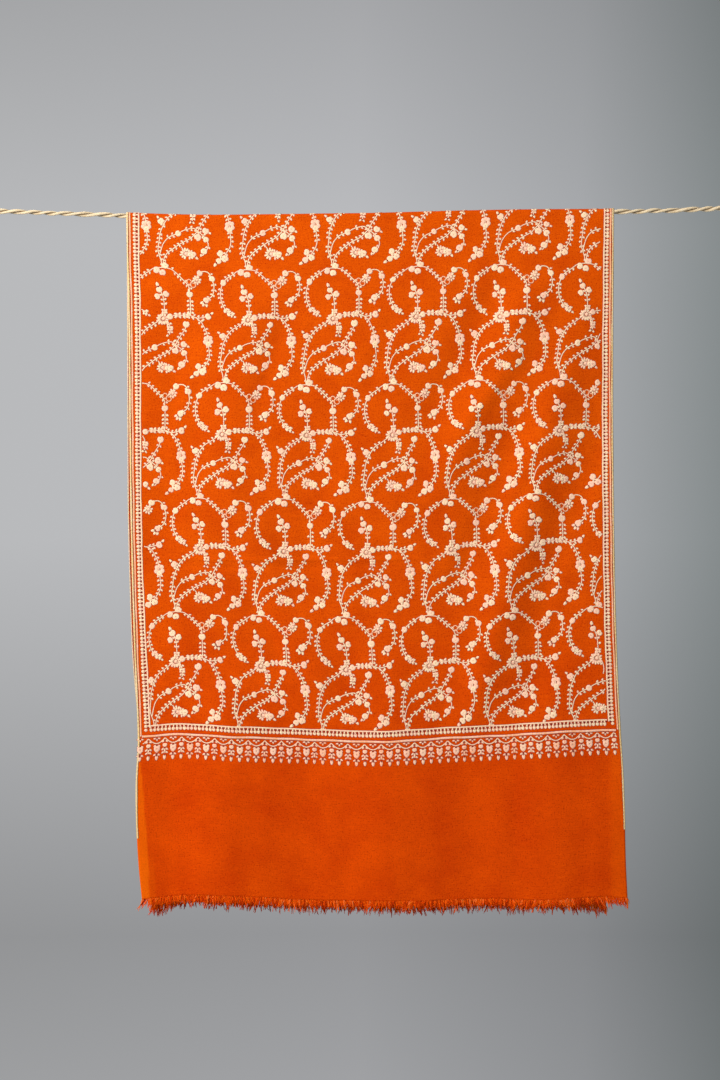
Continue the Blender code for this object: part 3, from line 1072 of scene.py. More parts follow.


# Painted shade: each form's rim, the foot of a leaf or petal beside its stem, and the eye of a bud or heart, a small
# dent
EYED = [(0.004, 0.55), (0.1, 0.35), (0.2, -0.08)]
LEAF = raised_form(almond, 8, [(0.004, 0.6)], (1.0, 0.1, 0.0), foot=0.1)
PETAL = raised_form(round_petal, 8, [(0.004, 0.6)], (1.0, 0.1, 0.0), foot=0.1)
BUD = raised_form(disc, 12, EYED, (1.0, 0.08, 0.0, 0.12, 0.32), EYE_PLACE)
HEART = raised_form(heart, 12, EYED, (1.0, 0.08, 0.0, 0.12, 0.36), EYE_PLACE)
BEAD = raised_form(oval, 10, [(0.004, 0.6), (0.16, 0.35)], (1.0, 0.1, 0.0, 0.0))
# A knot all in painted shade: it stands for the dark holes between stitches, which are shade and in part dark thread
SHADE_KNOT = raised_form(oval, 6, [(0.1, 0.5)], (1.0, 1.0, 1.0))
DIAMOND = raised_form(diamond, 8, [(0.004, 0.6)], (1.0, 0.1, 0.0))

STITCH_HEIGHT = 0.65


class Needlework:
    """Raised stitches gathered in flat places, to be laid on the cloth as one piece."""

    def __init__(self, seed):
        self.chance = np.random.default_rng(seed)
        self.patches = {}
        self.parts = []

    def patch(self, form, across, path, turn, width, length, height=STITCH_HEIGHT, shade=None):
        """One stitched form with its foot at a place. turn is where it points, in degrees, and 90 is up."""
        if shade is None:
            shade = self.chance.uniform(0.2, 0.75)
        self.patches.setdefault(id(form), (form, []))[1].append(
            (across, path, turn, width, length, height, shade)
        )

    def line(self, across, path, width, height=0.5, shade=0.5):
        """A line of stem stitch along flat places, given as arrays."""
        along = np.gradient(np.stack([across, path], -1), axis=0)
        along /= np.maximum(np.linalg.norm(along, axis=1, keepdims=True), 1e-9)
        side = np.stack([-along[:, 1], along[:, 0]], -1)
        gone = np.concatenate([[0], np.cumsum(np.hypot(np.diff(across), np.diff(path)))])
        uneven = 1 + 0.1 * np.sin(gone / 0.9 + across[0])
        half = 0.5 * width * uneven
        # Each column: its side, how far past the line's edge, how high, and how much painted shade. The outer two
        # lie on the cloth, in painted shade
        columns = ((-1, RIM_WIDTH, 0.0, 1.0), (-0.8, 0.0, 1.0, 0.0), (0.8, 0.0, 1.0, 0.0), (1, RIM_WIDTH, 0.0, 1.0))
        points = np.empty((len(across), 4, 3))
        rim = np.empty((len(across), 4))
        for i, (aside, past, up, sunk) in enumerate(columns):
            reach = aside * half + math.copysign(past, aside)
            points[:, i, 0] = across + side[:, 0] * reach
            points[:, i, 1] = path + side[:, 1] * reach
            points[:, i, 2] = up * height
            rim[:, i] = sunk
        stitch = np.stack([np.tile(np.arange(4) * 0.4, len(across)), np.repeat(gone, 4)], -1)
        row = np.arange(len(across) - 1)[:, None] * 4 + np.arange(3)[None, :]
        row = row.ravel()
        faces = np.concatenate(
            [np.stack([row, row + 1, row + 5], -1), np.stack([row, row + 5, row + 4], -1)]
        )
        shades = np.full(len(across) * 4, shade) + 0.15 * np.sin(np.repeat(gone, 4) / 7.0)
        self.parts.append((points.reshape(-1, 3), faces, rim.ravel(), stitch, shades))

    def finish(self, name, material, bend=None):
        """Lays all the stitches on the cloth as one piece."""
        parts = list(self.parts)
        for form, rows in self.patches.values():
            rows = np.array(rows)
            across, path, turn, width, length, height, shade = rows.T
            turn = np.radians(turn)
            local = form.points[None]
            x = local[..., 0] * width[:, None] + form.outwards[:, 0] * RIM_WIDTH
            y = local[..., 1] * length[:, None] + form.outwards[:, 1] * RIM_WIDTH
            points = np.empty((len(rows), len(form.points), 3))
            points[..., 0] = across[:, None] + y * np.cos(turn)[:, None] + x * np.sin(turn)[:, None]
            points[..., 1] = path[:, None] - y * np.sin(turn)[:, None] + x * np.cos(turn)[:, None]
            points[..., 2] = local[..., 2] * height[:, None]
            offsets = np.arange(len(rows))[:, None, None] * len(form.points)
            faces = (form.faces[None] + offsets).reshape(-1, 3)
            rim = np.tile(form.sunk, len(rows))
            stitch = np.stack([x, y], -1).reshape(-1, 2) + np.repeat(rows[:, :2] * 0.37, len(form.points), 0)
            parts.append((points.reshape(-1, 3), faces, rim, stitch, np.repeat(shade, len(form.points))))
        starts = np.cumsum([0] + [len(part[0]) for part in parts[:-1]])
        points = np.concatenate([part[0] for part in parts])
        faces = np.concatenate([part[1] + start for part, start in zip(parts, starts)])
        rim, stitch, shade = (np.concatenate([part[i] for part in parts]) for i in (2, 3, 4))
        flat = points[:, :2].copy()
        if bend is not None:
            flat = bend(flat)
        placed = on_cloth(flat[:, 0], flat[:, 1], CLOTH_THICKNESS / 2 - 0.02 + points[:, 2])
        a, b, c = (placed[faces[:, i]] for i in range(3))
        middle = on_cloth(flat[faces[:, 0], 0], flat[faces[:, 0], 1], 1.0)
        ground = on_cloth(flat[faces[:, 0], 0], flat[faces[:, 0], 1], 0.0)
        turned = np.einsum("ij,ij->i", np.cross(b - a, c - a), middle - ground) < 0
        faces[turned] = faces[turned][:, ::-1]
        return new_piece(
            name,
            placed,
            faces,
            material,
            {"OFBake": fit_to_map(flat), "stitch": stitch},
            {"rim": rim, "shade": shade},
        )


# The vine of the field, charted round its large flower: millimetres, x right and y towards the crest

Stem = namedtuple("Stem", "name leaf_gap leaf_angle leaf bare_start bare_end route")
VINE = (
    Stem("arch, left half", 6.2, 48, 4.9, 5, 0, ((0, 74), (-12, 72), (-20, 66.5), (-29, 61), (-35, 54),
         (-38.5, 45), (-39.5, 38), (-38.4, 27), (-35, 19), (-31, 13.5), (-25, 9.5))),
    Stem("arch, right half", 6.2, 44, 4.6, 5, 3, ((0, 74), (12, 72.2), (20.5, 66), (28, 58.5), (35, 51.5),
         (37.5, 46))),
    Stem("upright", 5.9, 60, 5.4, 3, 0, ((37.5, 46), (38, 36), (38.2, 27.6), (38.2, 14), (37.6, 6))),
    Stem("level", 6.4, 52, 4.9, 2, 0, ((8, 4), (18, 6), (30, 6.2), (38, 6), (46, 3), (52, 3), (60, 5))),
    Stem("crook", 7.2, 50, 4.7, 31, 4, ((40, 53), (48, 60), (53, 67.5), (60, 70.5), (67, 68.5), (71, 61),
         (73.6, 51), (73, 43), (70, 35.5), (61, 29))),
    Stem("right fall", 6.4, 50, 4.9, 2, 6, ((46, 3), (52, -2), (56, -9), (60, -18), (61.5, -28), (63, -41),
         (64, -51.6), (62.5, -60), (59, -66), (54, -73), (48, -79), (44, -82))),
    Stem("upper sprig", 6.4, 46, 5.0, 4, 5, ((1, 6), (1.6, 14), (1.3, 24.4), (0, 33), (-3.4, 40), (-6, 45))),
    Stem("hanging sprig", 6.0, 46, 4.9, 3, 0, ((4, 0), (7.2, -6), (8.6, -12), (8.6, -18), (7.6, -22))),
    Stem("left fall", 6.7, 48, 4.9, 3, 17, ((-6, -2), (-16, -9), (-25, -14.5), (-31, -21.6), (-36, -31),
         (-39.6, -41), (-41, -53), (-42.4, -62.4), (-42, -70), (-38.4, -81.6), (-37, -92))),
    Stem("inner arc", 7.2, 48, 4.6, 21, 0, ((-40.5, -75), (-37, -62), (-34, -55), (-27.6, -47.5), (-20, -43.5),
         (-13.2, -40.8), (-6, -36.5), (2, -33.8), (9.6, -32.6), (16, -37), (22.8, -42.5), (28, -48))),
    Stem("inner drop", 6.2, 48, 4.8, 2, 4, ((28, -48), (31, -55), (30.5, -61), (27, -67), (22, -73))),
    Stem("slant", 6.8, 46, 4.8, 2, 7, ((31.5, -7), (29.5, -14), (25, -21), (20, -29), (15.6, -37), (10, -43),
         (4.8, -48), (-8.4, -55.2), (-20.4, -63.6), (-29, -70.5), (-34, -79), (-36.5, -92))),
    Stem("spray's twig", 0, 0, 0, 0, 0, ((-9, -60.4), (-6, -65), (-3, -69))),
    Stem("bud's twig", 0, 0, 0, 0, 0, ((-33, -28.5), (-36, -26), (-38.6, -24.4))),
)

Bloom = namedtuple("Bloom", "x y across facing")
BUDS = (
    Bloom(9.2, 4, 8.4, 20),
    Bloom(-8.2, 70, 9.2, 160),
    Bloom(4.6, 77, 9.0, 60),
    Bloom(0.5, 66.5, 9.2, 280),
    Bloom(-34.6, 55, 8.6, 150),
    Bloom(54, 68, 8.6, 60),
    Bloom(71.6, 60, 8.6, 250),
    Bloom(61, 29, 8.8, 220),
    Bloom(37.8, 37, 9.4, 90),
    Bloom(63, 5.3, 9.2, 20),
    Bloom(-7.9, 32, 8.2, 200),
    Bloom(4.5, 36, 8.4, 30),
    Bloom(-4.8, 42, 8.8, 110),
    Bloom(-39, -23, 9.0, 130),
    Bloom(-13.2, -40.8, 8.6, 20),
    Bloom(27.6, -36.4, 9.2, 60),
    Bloom(15.8, -46.2, 9.4, 240),
    Bloom(28, -49.4, 8.4, 300),
    Bloom(24.6, -66.4, 9.2, 250),
    Bloom(31.4, -6.6, 9.4, 110),
    Bloom(9, -71.6, 8.4, 330),
    Bloom(48, -69, 8.8, 160),
    Bloom(55, -77, 9.2, 300),
    Bloom(45.6, -80, 8.2, 230),
)
TIPS = (
    Bloom(66.4, 8.4, 5.4, 40),
    Bloom(57.8, 27.0, 6.2, 195),
    Bloom(58.6, 25.2, 6.0, 232),
    Bloom(61.4, 24.6, 5.6, 265),
    Bloom(-6.2, 45.6, 7.2, 108),
    Bloom(-41.8, -20.0, 5.2, 135),
    Bloom(21.6, -69.6, 5.2, 232),
    Bloom(11.4, -74.6, 5.6, 318),
    Bloom(42.6, -82.6, 6.8, 222),
    Bloom(31.4, -38.6, 4.8, 330),
    Bloom(-22, 6.0, 4.4, 330),
)

CLUSTERS = (
    Bloom(20.6, 6.2, 10.5, 0),
    Bloom(31.0, 6.2, 9.5, 0),
    Bloom(1.4, 11.0, 10.0, 0),
    Bloom(-31.0, 14.0, 9.5, 0),
    Bloom(-25.6, 9.4, 9.5, 0),
    Bloom(8.6, -13.0, 9.5, 0),
    Bloom(51.0, -75.0, 8.5, 0),
)

COLUMN_PITCH = 122.0
ROW_PITCH = 166.0
ROW_SHIFT = -37.0
FIRST_FLOWER = (-299.5, 148.8 + CREST_ARC)


@functools.cache
def smooth_route(points, step):
    """Places every step along a smooth curve through the chart's points."""
    points = np.asarray(points, float)
    ends = np.concatenate([[2 * points[0] - points[1]], points, [2 * points[-1] - points[-2]]])
    pieces = []
    for before, start, end, after in zip(ends[:-3], ends[1:-2], ends[2:-1], ends[3:]):
        t = np.linspace(0, 1, 16, endpoint=False)[:, None]
        pieces.append(
            0.5
            * (
                2 * start
                + (end - before) * t
                + (2 * before - 5 * start + 4 * end - after) * t**2
                + (3 * start - before - 3 * end + after) * t**3
            )
        )
    fine = np.concatenate(pieces + [points[-1:]])
    gone = np.concatenate([[0], np.cumsum(np.linalg.norm(np.diff(fine, axis=0), axis=1))])
    wanted = np.linspace(0, gone[-1], max(2, round(gone[-1] / step) + 1))
    return np.stack([np.interp(wanted, gone, fine[:, i]) for i in range(2)], -1)


def field_end(side):
    return FIELD_END + CREST_ARC + (0.0 if side == FRONT else 8.5)


def in_field(across, path, margin):
    end = np.where(path > 0, field_end(FRONT), field_end(BACK))
    return (np.abs(across) < FIELD_HALF_WIDTH - margin) & (np.abs(path) < end - margin)


def wander(flat):
    """The hand's small drift off the drawn pattern, the same for all that is near."""
    across, path = flat[:, 0], flat[:, 1]
    drift = np.stack(
        [
            1.1 * np.sin(path / 47 + across / 91) + 0.8 * np.sin(across / 29 - path / 63),
            1.0 * np.sin(across / 53 - path / 71) + 0.8 * np.sin(path / 31 + across / 77),
        ],
        -1,
    )
    calm = ease((FIELD_HALF_WIDTH + 2 - np.abs(across)) / 14) * ease((field_end(FRONT) - np.abs(path)) / 14)
    return flat + drift * calm[:, None]


def vine_cells(side):
    """The places of the large flowers on one side of the crest."""
    for row in range(-4, 6):
        across = FIRST_FLOWER[0] + ROW_SHIFT * (row - 1)
        path = FIRST_FLOWER[1] + ROW_PITCH * (row - 1)
        for column in range(-4, 10):
            yield across + COLUMN_PITCH * column, path


def clear_of_blooms(x, y):
    return all(math.hypot(x - b.x, y - b.y) > b.across / 2 + 0.6 for b in BUDS)


def stitch_stems(work, cell_across, cell_path, keep):
    """The cell's stems in stem stitch, with pairs of leaves."""
    chance = work.chance
    for stem in VINE:
        route = smooth_route(stem.route, 2.6)
        across, path = cell_across + route[:, 0], cell_path - route[:, 1]
        inside = keep(across, path, 0.0)
        shade = chance.uniform(0.25, 0.6)
        starts = np.flatnonzero(inside & ~np.concatenate([[False], inside[:-1]]))
        for start in starts:
            stop = start
            while stop < len(inside) and inside[stop]:
                stop += 1
            if stop - start > 1:
                work.line(across[start:stop], path[start:stop], 1.1, 0.5, shade)
        if not stem.leaf_gap:
            continue
        spots = smooth_route(stem.route, stem.leaf_gap)
        ahead = np.gradient(spots, axis=0)
        first = 1 + round(stem.bare_start / stem.leaf_gap)
        last = len(spots) - round(stem.bare_end / stem.leaf_gap)
        for (x, y), (run_x, run_y) in zip(spots[first:last], ahead[first:last]):
            at_across, at_path = cell_across + x, cell_path - y
            if not clear_of_blooms(x, y) or not keep(at_across, at_path, 3.0):
                continue
            grows = math.degrees(math.atan2(run_y, run_x))
            leaf_shade = chance.uniform(0.15, 0.7)
            for hand in (1, -1):
                if chance.uniform() < 0.04:
                    continue
                turn = grows + hand * (stem.leaf_angle + chance.uniform(-10, 10))
                work.patch(
                    LEAF,
                    at_across + 0.8 * math.cos(math.radians(turn)),
                    at_path - 0.8 * math.sin(math.radians(turn)),
                    turn,
                    stem.leaf * chance.uniform(0.46, 0.6),
                    stem.leaf * chance.uniform(0.8, 1.0),
                    STITCH_HEIGHT,
                    leaf_shade,
                )


def fan(work, form, across, path, turns, length, width, start=1.5, shade=None):
    """Petals of one flower, each pointing its own way from its heart."""
    for i, turn in enumerate(turns):
        angle = math.radians(turn)
        work.patch(
            form,
            across + start * math.cos(angle),
            path - start * math.sin(angle),
            turn,
            width * work.chance.uniform(0.9, 1.1),
            length[i % len(length)] * work.chance.uniform(0.93, 1.07),
            STITCH_HEIGHT * work.chance.uniform(0.9, 1.15),
            shade,
        )


def stitch_blooms(work, cell_across, cell_path, keep):
    """The cell's flowers, buds and tips in satin stitch."""
    chance = work.chance

    def at(x, y):
        return cell_across + x, cell_path - y

    def shown(x, y, margin):
        return keep(*at(x, y), margin)

    for bloom in BUDS:
        if shown(bloom.x, bloom.y, bloom.across / 2 - 1.5):
            across = bloom.across * chance.uniform(0.93, 1.08)
            work.patch(
                BUD, *at(bloom.x, bloom.y), bloom.facing + chance.uniform(-25, 25), across,
                across * chance.uniform(0.9, 1.04), 0.8, chance.uniform(0.25, 0.75),
            )
    for bloom in TIPS:
        if shown(bloom.x, bloom.y, 2):
            work.patch(
                LEAF, *at(bloom.x, bloom.y), bloom.facing + chance.uniform(-15, 15),
                max(2.8, 0.6 * bloom.across), bloom.across, STITCH_HEIGHT, chance.uniform(0.1, 0.7),
            )
    if shown(0, 0, 6):
        centre = at(-0.5, 0.5)
        work.patch(BEAD, *centre, 60, 9.0, 9.5, 0.35, 0.95)
        fan(work, PETAL, *centre, (145, 173, 201, 229, 257, 285, 313), (6.8, 7.8, 8.6, 8.0, 7.2), 4.0, 2.2)
        fan(work, PETAL, *centre, (350, 26, 62, 98, 122), (5.2, 6.2), 3.4, 2.4)
        work.patch(BEAD, centre[0] + 0.6, centre[1] - 0.4, 90, 4.0, 4.0, 0.9, 0.6)
    if shown(49.5, 58, 5):
        work.patch(BEAD, *at(49.0, 57.6), 40, 5.0, 5.6, 0.35, 0.95)
        fan(work, PETAL, *at(49.0, 57.6), (190, 235, 280, 325, 10, 60, 110, 150), (5.4, 4.8), 3.6, 1.7)
        work.patch(BEAD, *at(49.5, 58), 90, 3.4, 3.4, 0.85, 0.6)
    if shown(62.3, -30.8, 5):
        for aside, up, across in ((-3.4, 3.8, 6.0), (3.2, 4.2, 6.0), (-4.2, -1.6, 6.2), (4.0, -1.2, 6.0)):
            work.patch(BEAD, *at(62.3 + aside, -31.0 + up), 90, across, across * 1.05, 0.75, 0.75)
        work.patch(BEAD, *at(62.3, -25.2), 90, 4.6, 5.4, 0.7, 0.8)
        work.patch(BUD, *at(62.2, -35.6), 270, 7.8, 7.4, 0.85, 0.3)
    if shown(0.6, -70.7, 6):
        work.patch(BEAD, *at(-0.6, -71.0), 10, 6.5, 12.0, 0.35, 0.9)
        fan(work, PETAL, *at(-2.5, -70.5), (66, 98, 130, 162, 194, 226, 258), (6.2, 7.2, 6.6), 3.5, 2.0)
        fan(work, PETAL, *at(3.4, -71.6), (98, 60, 22, 344, 306, 268), (5.4, 5.0), 3.4, 2.0)
        work.patch(BEAD, *at(-1.6, -70.4), 90, 4.4, 4.6, 0.85, 0.8)
        work.patch(BUD, *at(3.6, -71.4), 330, 6.0, 5.8, 0.9, 0.3)
    if shown(40, 51.4, 5):
        for centre_x, centre_y, radius, first in ((37.6, 55.0, 4.2, 250), (44.0, 50.4, 4.2, 150)):
            turn = np.radians(first + np.linspace(0, 330, 14))
            shrink = np.linspace(1.0, 0.6, 14) * radius
            across, path = at(centre_x + shrink * np.cos(turn), centre_y + shrink * np.sin(turn))
            work.line(across, path, 1.3, 0.6, 0.95)
    for cluster in CLUSTERS:
        if shown(cluster.x, cluster.y, 3):
            for turn in (35, 145, 215, 325):
                work.patch(LEAF, *at(cluster.x, cluster.y), turn + chance.uniform(-10, 10), 3.4,
                           cluster.across / 2, STITCH_HEIGHT * 1.1, chance.uniform(0.15, 0.7))


def embroider_field(side, material_of):
    """All the cells of one fall: the stems and leaves as one piece, the flowers and buds as another."""

    def keep(across, path, margin):
        mine = (path > 0) if side == FRONT else (path <= 0)
        return mine & in_field(across, path, margin)

    word = "front" if side == FRONT else "back"
    vines = Needlework(11 if side == FRONT else 12)
    blooms = Needlework(21 if side == FRONT else 22)
    for across, path in vine_cells(side):
        stitch_stems(vines, across, path, keep)
        stitch_blooms(blooms, across, path, keep)
    return [
        vines.finish(f"vine_stems_{word}", material_of, wander),
        blooms.finish(f"vine_flowers_{word}", material_of, wander),
    ]


# Borders

PETAL_PITCH = 5.3
Reach = namedtuple("Reach", "down left right")
BORDER_REACHES = (  # how far the inner line lies from each selvedge, which is uneven by hand
    Reach(0, 17.2, 13.2),
    Reach(266, 15.9, 14.5),
    Reach(497, 14.9, 15.2),
    Reach(670, 17.2, 16.0),
    Reach(760, 17.4, 16.4),
)


def border_reach(hand, path):
    return read_smoothly(BORDER_REACHES, np.abs(path), "left" if hand < 0 else "right")


def stitch_side_borders(material):
    """Down each selvedge: a line, a chain of crossed petals with dark knots beside them, and an inner line.
    The knots are all in painted shade: they stand for the holes between the stitches, which are shade and in part
    dark thread.
    """
    work = Needlework(31)
    chance = work.chance
    low, high = -(FIELD_END + CREST_ARC + 8.5), FIELD_END + CREST_ARC
    path = np.arange(low, high + 3, 3.0)
    wave = 0.25 * np.sin(path / 17) + 0.15 * np.sin(path / 6.1)
    outer_path = np.arange(low - 15, high + 15, 3.0)
    for hand in (-1, 1):
        outer_wave = 0.25 * np.sin(outer_path / 15 + hand)
        inner = HALF_WIDTH - border_reach(hand, path)
        work.line(hand * (HALF_WIDTH - 4.4) + outer_wave, outer_path, 2.0, 0.5, 1.1)
        work.line(hand * inner + wave, path, 1.9, 0.55, 0.5)
        for at in np.arange(low - 5, high + 7, PETAL_PITCH):
            at = at + chance.uniform(-0.3, 0.3)
            reach = float(border_reach(hand, at))
            middle = HALF_WIDTH - 0.67 * reach + 0.25 * math.sin(at / 17)
            inwards = 180 if hand > 0 else 0
            tone = chance.uniform(0.15, 0.7)
            work.patch(DIAMOND, hand * middle, at, 90 + chance.uniform(-16, 16), chance.uniform(4.6, 5.6),
                       chance.uniform(4.3, 4.9), 0.65, tone)
            if low < at < high:
                work.patch(LEAF, hand * (middle - 1.0), at, inwards + chance.uniform(-14, 14),
                           chance.uniform(1.6, 2.1), 0.33 * reach - 0.4, 0.75, tone)
                gap = at + PETAL_PITCH / 2
                turned = 90 + hand * chance.uniform(0, 30)
                work.patch(SHADE_KNOT, hand * (HALF_WIDTH - 0.84 * reach), gap, turned, 1.1, 1.9, 0.8, 0.0)
    return work.finish("side_borders", material)


def stitch_end_border(side, material):
    """Across each end: a line, petals, a couched line, and a waving stem hung with pendants."""
    word = "front" if side == FRONT else "back"
    work = Needlework(41 + side)
    chance = work.chance
    base = FIELD_END + CREST_ARC + (0.0 if side == FRONT else 8.5)
    sign = 1 if side == FRONT else -1
    outwards = 270 if side == FRONT else 90
    reach = HALF_WIDTH - 18.0
    across = np.arange(-reach, reach + 2, 3.0)
    level = 0.35 * np.sin(across / 23.0) + 0.2 * np.sin(across / 9.0)

    def place(down):
        return sign * (base + down)

    work.line(across, place(level - 1.6), 1.8, 0.55, 0.5)
    wide = np.arange(-(HALF_WIDTH - 6), HALF_WIDTH - 5, 3.0)
    wide_level = 0.4 * np.sin(wide / 23.0) + 0.3 * np.sin(wide / 9.0)
    work.line(wide, place(13.2 + wide_level), 2.9, 0.85, 0.92)
    for at in np.arange(-reach + 1, reach, 5.4):
        at = at + chance.uniform(-0.3, 0.3)
        tone = chance.uniform(0.15, 0.7)
        work.patch(DIAMOND, at, place(4.3), 90 + chance.uniform(-16, 16), chance.uniform(4.3, 4.9),
                   chance.uniform(4.8, 5.8), 0.65, tone)
        inwards = 90 if side == FRONT else 270
        work.patch(LEAF, at, place(3.2), inwards + chance.uniform(-14, 14), chance.uniform(1.6, 2.1), 4.8, 0.75,
                   tone)
        # A knot in painted shade beside each petal, for the dark hole there
        work.patch(SHADE_KNOT, at + 2.7, place(1.2), chance.uniform(0, 30), 1.1, 1.8, 0.8, 0.0)
    wave_across = np.arange(-(HALF_WIDTH - 7), HALF_WIDTH - 6, 1.5)
    wave_down = 16.6 + 7.8 * np.abs(np.sin(math.pi * (wave_across - 2.6) / 24.1)) ** 0.9
    work.line(wave_across, place(wave_down), 1.2, 0.5, 0.5)
    pendants = np.arange(-346.8, 347, 12.05)
    for i, at in enumerate(pendants):
        at = at + chance.uniform(-0.5, 0.5)
        shade = chance.uniform(0.55, 1.0)

        def patch(form, aside, down, turn, width, length, tone=shade, height=0.85):
            work.patch(form, at + aside, place(down), turn if side == FRONT else -turn, width, length, height,
                       tone)

        if i % 2 == 0:
            patch(LEAF, -0.6, 16.9, 187, 2.2, 4.6)
            patch(LEAF, 0.6, 16.9, 353, 2.2, 4.6)
            patch(LEAF, 0, 17.2, 270, 2.2, 3.6)
            patch(LEAF, -0.6, 26.8, 204, 2.6, 4.6)
            patch(LEAF, 0.6, 26.8, 336, 2.6, 4.6)
            patch(HEART, 0, 31.8, 90, 8.6, 9.4, shade, 0.85)
            patch(LEAF, -0.5, 39.4, 206, 2.5, 4.9)
            patch(LEAF, 0.5, 39.4, 334, 2.5, 4.9)
            patch(LEAF, 0, 40.8, 270, 4.4, 7.8)
        else:
            patch(LEAF, -0.5, 20.4, 215, 2.4, 4.8)
            patch(LEAF, 0.5, 20.4, 325, 2.4, 4.8)
            patch(BUD, 0, 27.2, 90, 6.4, 5.6, shade, 0.8)
            patch(LEAF, -0.5, 31.6, 212, 2.5, 5.2)
            patch(LEAF, 0.5, 31.6, 328, 2.5, 5.2)
            patch(LEAF, -0.5, 36.4, 212, 2.5, 4.8)
            patch(LEAF, 0.5, 36.4, 328, 2.5, 4.8)
            patch(BEAD, 0, 35.6, 90, 2.0, 6.4)
            patch(LEAF, 0, 40.6, 270, 4.2, 7.6)
    return work.finish(f"end_border_{word}", material)


# Selvedges and frayed ends

EDGING_ENDS = {FRONT: 898.0, BACK: 884.0}


def overcast_edging(hand, material):
    """Thread sewn over and over round a selvedge: a rounded band that swells with each stitch."""
    stitch = 1.9
    path = np.arange(-EDGING_ENDS[BACK], EDGING_ENDS[FRONT] - 4 * hand, stitch / 2)
    # Each row: its place across the selvedge, how far out from the cloth's middle, and how much painted shade. The
    # band's edge towards the field is painted dark, as shade
    section = ((-3.3, 0.31, 1.0), (-2.5, 0.36, 1.0), (-2.1, 0.9, 0.1), (-0.6, 1.05, 0.0), (0.55, 0.0, 0.1),
               (-0.5, -1.0, 0.0), (-1.1, -0.8, 0.1), (-1.5, -0.36, 1.0), (-3.3, -0.31, 1.0))
    chance = np.random.default_rng(51 + hand)
    dip = np.arange(len(path)) % 2
    swell = np.where(dip, 0.66, 1.1) * chance.uniform(0.92, 1.08, len(path))
    reach = 1 + 0.1 * np.sin(path / 13.0) - 0.07 * dip + chance.uniform(-0.1, 0.1, len(path))
    inwards = np.array([row[0] for row in section])[None, :] * reach[:, None]
    off = np.array([row[1] for row in section])[None, :] * swell[:, None]
    across = hand * (HALF_WIDTH + inwards)
    lean = np.array([row[0] for row in section])[None, :] * 0.18
    points = on_cloth(across, path[:, None] + lean, off)
    rings, sides = across.shape
    row = (np.arange(rings - 1)[:, None] * sides + np.arange(sides - 1)[None, :]).ravel()
    faces = np.stack([row, row + sides, row + sides + 1, row + 1], -1)
    if hand < 0:
        faces = faces[:, ::-1]
    # The dips between stitches get more painted shade
    rim = np.tile([row[2] for row in section], rings) + 0.3 * np.repeat(dip, sides)
    around = np.arange(sides) * 1.1
    uv = np.stack([np.tile(around, rings), np.repeat(path, sides)], -1)
    inside = np.tile([row[1] < 0 for row in section], rings)
    shade = np.where(inside, 0.85, 0.3) + 0.15 * np.sin(np.repeat(path, sides) / 21.0)
    word = "left" if hand < 0 else "right"
    return new_piece(
        f"edging_{word}",
        points.reshape(-1, 3),
        faces,
        material,
        {"OFBake": fit_to_map(uv), "stitch": uv},
        {"rim": np.clip(rim, 0, 1), "shade": shade},
    )


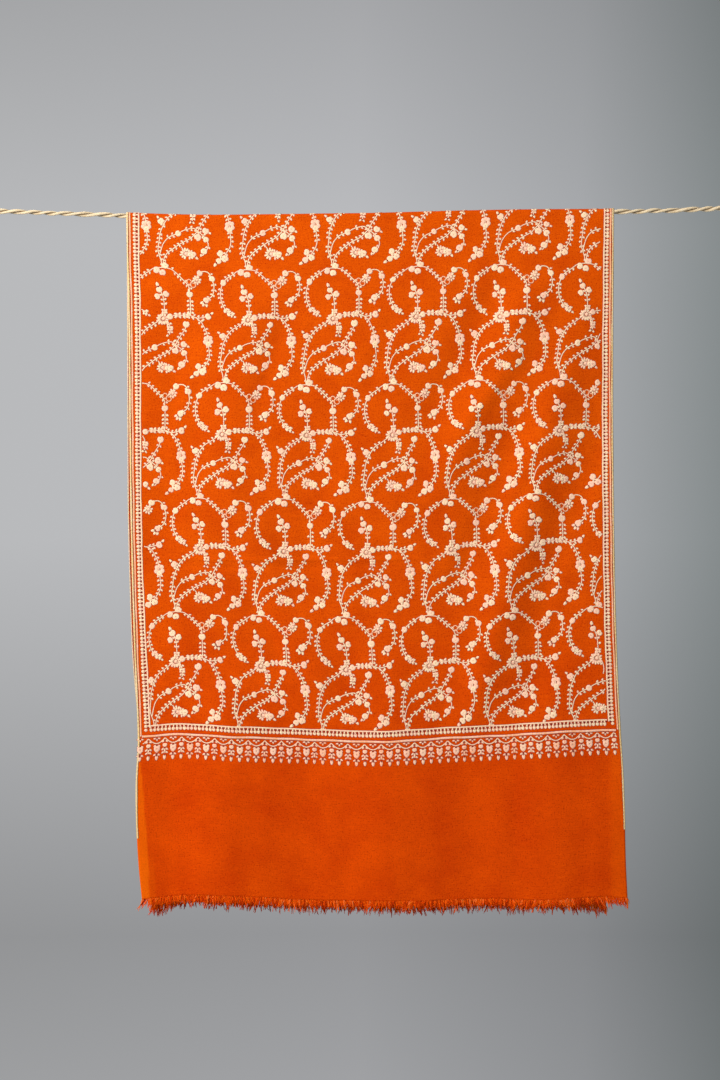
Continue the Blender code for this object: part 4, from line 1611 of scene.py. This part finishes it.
def fray(side, material, seed):
    """Loose warp threads at a cut edge: uneven twisted locks over a thick row of short broken ends."""
    chance = np.random.default_rng(seed)
    word = "front" if side == FRONT else "back"
    sign = 1 if side == FRONT else -1
    steps = np.linspace(0, 1, 5)
    rows = []

    def drawn(at):
        """Neighbours lean alike, and outwards at the corners."""
        return 2.2 * math.sin(at / 31 + seed) + 1.6 * math.sin(at / 9.5) + 5.0 * (at / HALF_WIDTH) ** 9

    at = -HALF_WIDTH + 0.5
    while at < HALF_WIDTH - 0.4:
        length = chance.uniform(12.0, 18.0) if chance.uniform() < 0.6 else chance.uniform(8, 12)
        lean, lift = drawn(at) + chance.normal(0, 3.6), chance.uniform(0.2, 2.0)
        twist = chance.uniform(1.5, 3.5) * chance.choice([-1, 1])
        tone = chance.uniform(-0.34, 0.2)
        for strand in range(3):
            phase = strand * 2 * math.pi / 3 + chance.uniform(-0.4, 0.4)
            rows.append((at, length * chance.uniform(0.75, 1.06), lean + chance.normal(0, 1.0), lift, twist, phase,
                         0.85, 1.1, tone + chance.uniform(-0.12, 0.12), chance.uniform(-0.5, 2.0), 0.6))
        at += chance.uniform(1.4, 4.8)
    at = -HALF_WIDTH + 0.2
    while at < HALF_WIDTH - 0.1:
        rows.append((at, chance.uniform(6.5, 10), 0.5 * drawn(at) + chance.normal(0, 1.6), chance.uniform(-0.2, 0.8),
                     chance.uniform(-3, 3), chance.uniform(0, 6), 0.66, 0.3, chance.uniform(-0.2, 0.14),
                     chance.uniform(0.3, 2.0), 0.45))
        at += chance.uniform(0.4, 0.66)
    at, length, lean, lift, twist, phase, thick, gather, tone, start, rise = (
        column[:, None] for column in np.array(rows).T)
    spread = gather * ((1 - steps) * 0.8 + 0.25)
    across = at + lean * steps**1.3 + spread * np.cos(phase + twist * steps)
    across += 0.9 * np.sin(math.pi * steps) * np.sin(3 * phase)
    off = rise * (1 - steps) + lift * steps**1.5 + 0.5 * spread * np.sin(phase + twist * steps)
    reach = CUT_EDGES[side] - start + steps * (length + start)
    hem = CUT_EDGES[side] - 0.6
    line = on_cloth(across, sign * np.minimum(reach, hem), off)
    line[..., 2] -= np.maximum(reach - hem, 0) * MM
    corner = 2 * math.pi * np.arange(3) / 3
    section = np.stack([np.cos(corner), np.sin(corner), np.zeros(3)], -1)
    thick = thick * (1.05 - 0.55 * steps) * MM
    points = line[:, :, None, :] + section[None, None] * thick[..., None, None]
    faces = tube_faces(5, 3)[None] + np.arange(len(rows))[:, None, None] * 15
    # Painted shade: each strand is painted darker towards its tip
    shade = np.repeat((0.52 - 0.12 * steps + tone).ravel(), 3)
    return new_piece(
        f"frayed_end_{word}",
        points.reshape(-1, 3),
        faces.reshape(-1, 4),
        material,
        None,
        {"shade": shade},
    )


def main():
    add_camera()
    jute = jute_material("laid jute rope", "#c4a87e", "#ecd9b6", "#fff4dc")
    twine = jute_material("jute twine", "#a98c62", "#cdb48a", "#e6d2ae")
    route = rope_route()
    rope = laid_rope("laid_rope", route, jute, 5, 130)
    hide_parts("rope")
    ends = []
    for word, end, outwards in (("left", LEFT_END, -1), ("right", RIGHT_END, 1)):
        eye = laid_rope(f"spliced_eye_{word}", eye_route(end, outwards), jute, 6, 10)
        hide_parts(f"rope_eye_{word}")
        seizing = wound_seizing(f"wound_seizing_{word}", end, outwards, twine)
        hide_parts(f"rope_seizing_{word}")
        ends += [eye, seizing]
    add_studio()

    pashmina = pashmina_material()
    silk = needlework_material(
        "embroidery thread",
        [
            (0.0, linear("#fff2d0")),
            (0.35, linear("#ffe6c4")),
            (0.65, linear("#ffd8c0")),
            (0.9, linear("#ffcebc")),
            (1.0, linear("#ffbe94")),
        ],
        "#7c1400",
    )
    overcast = needlework_material(
        "selvedge thread",
        [(0.0, linear("#ffdf96")), (0.45, linear("#fff2c0")), (0.8, linear("#ffe8d4")), (1.0, linear("#ffdcc8"))],
        "#6c3006",
    )
    fraying = fraying_material()

    cloth = weave_cloth(pashmina)
    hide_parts("shawl_front_fall", "shawl_over_rope", "shawl_back_fall")
    sewn = []
    for side in (FRONT, BACK):
        sewn += embroider_field(side, silk)
        sewn.append(stitch_end_border(side, silk))
    sewn.append(stitch_side_borders(silk))
    for hand in (-1, 1):
        sewn.append(overcast_edging(hand, overcast))
    for side, node, seed in ((FRONT, "fringe_front", 61), (BACK, "fringe_back", 62)):
        end = fray(side, fraying, seed)
        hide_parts(node)
        sewn.append(end)


main()
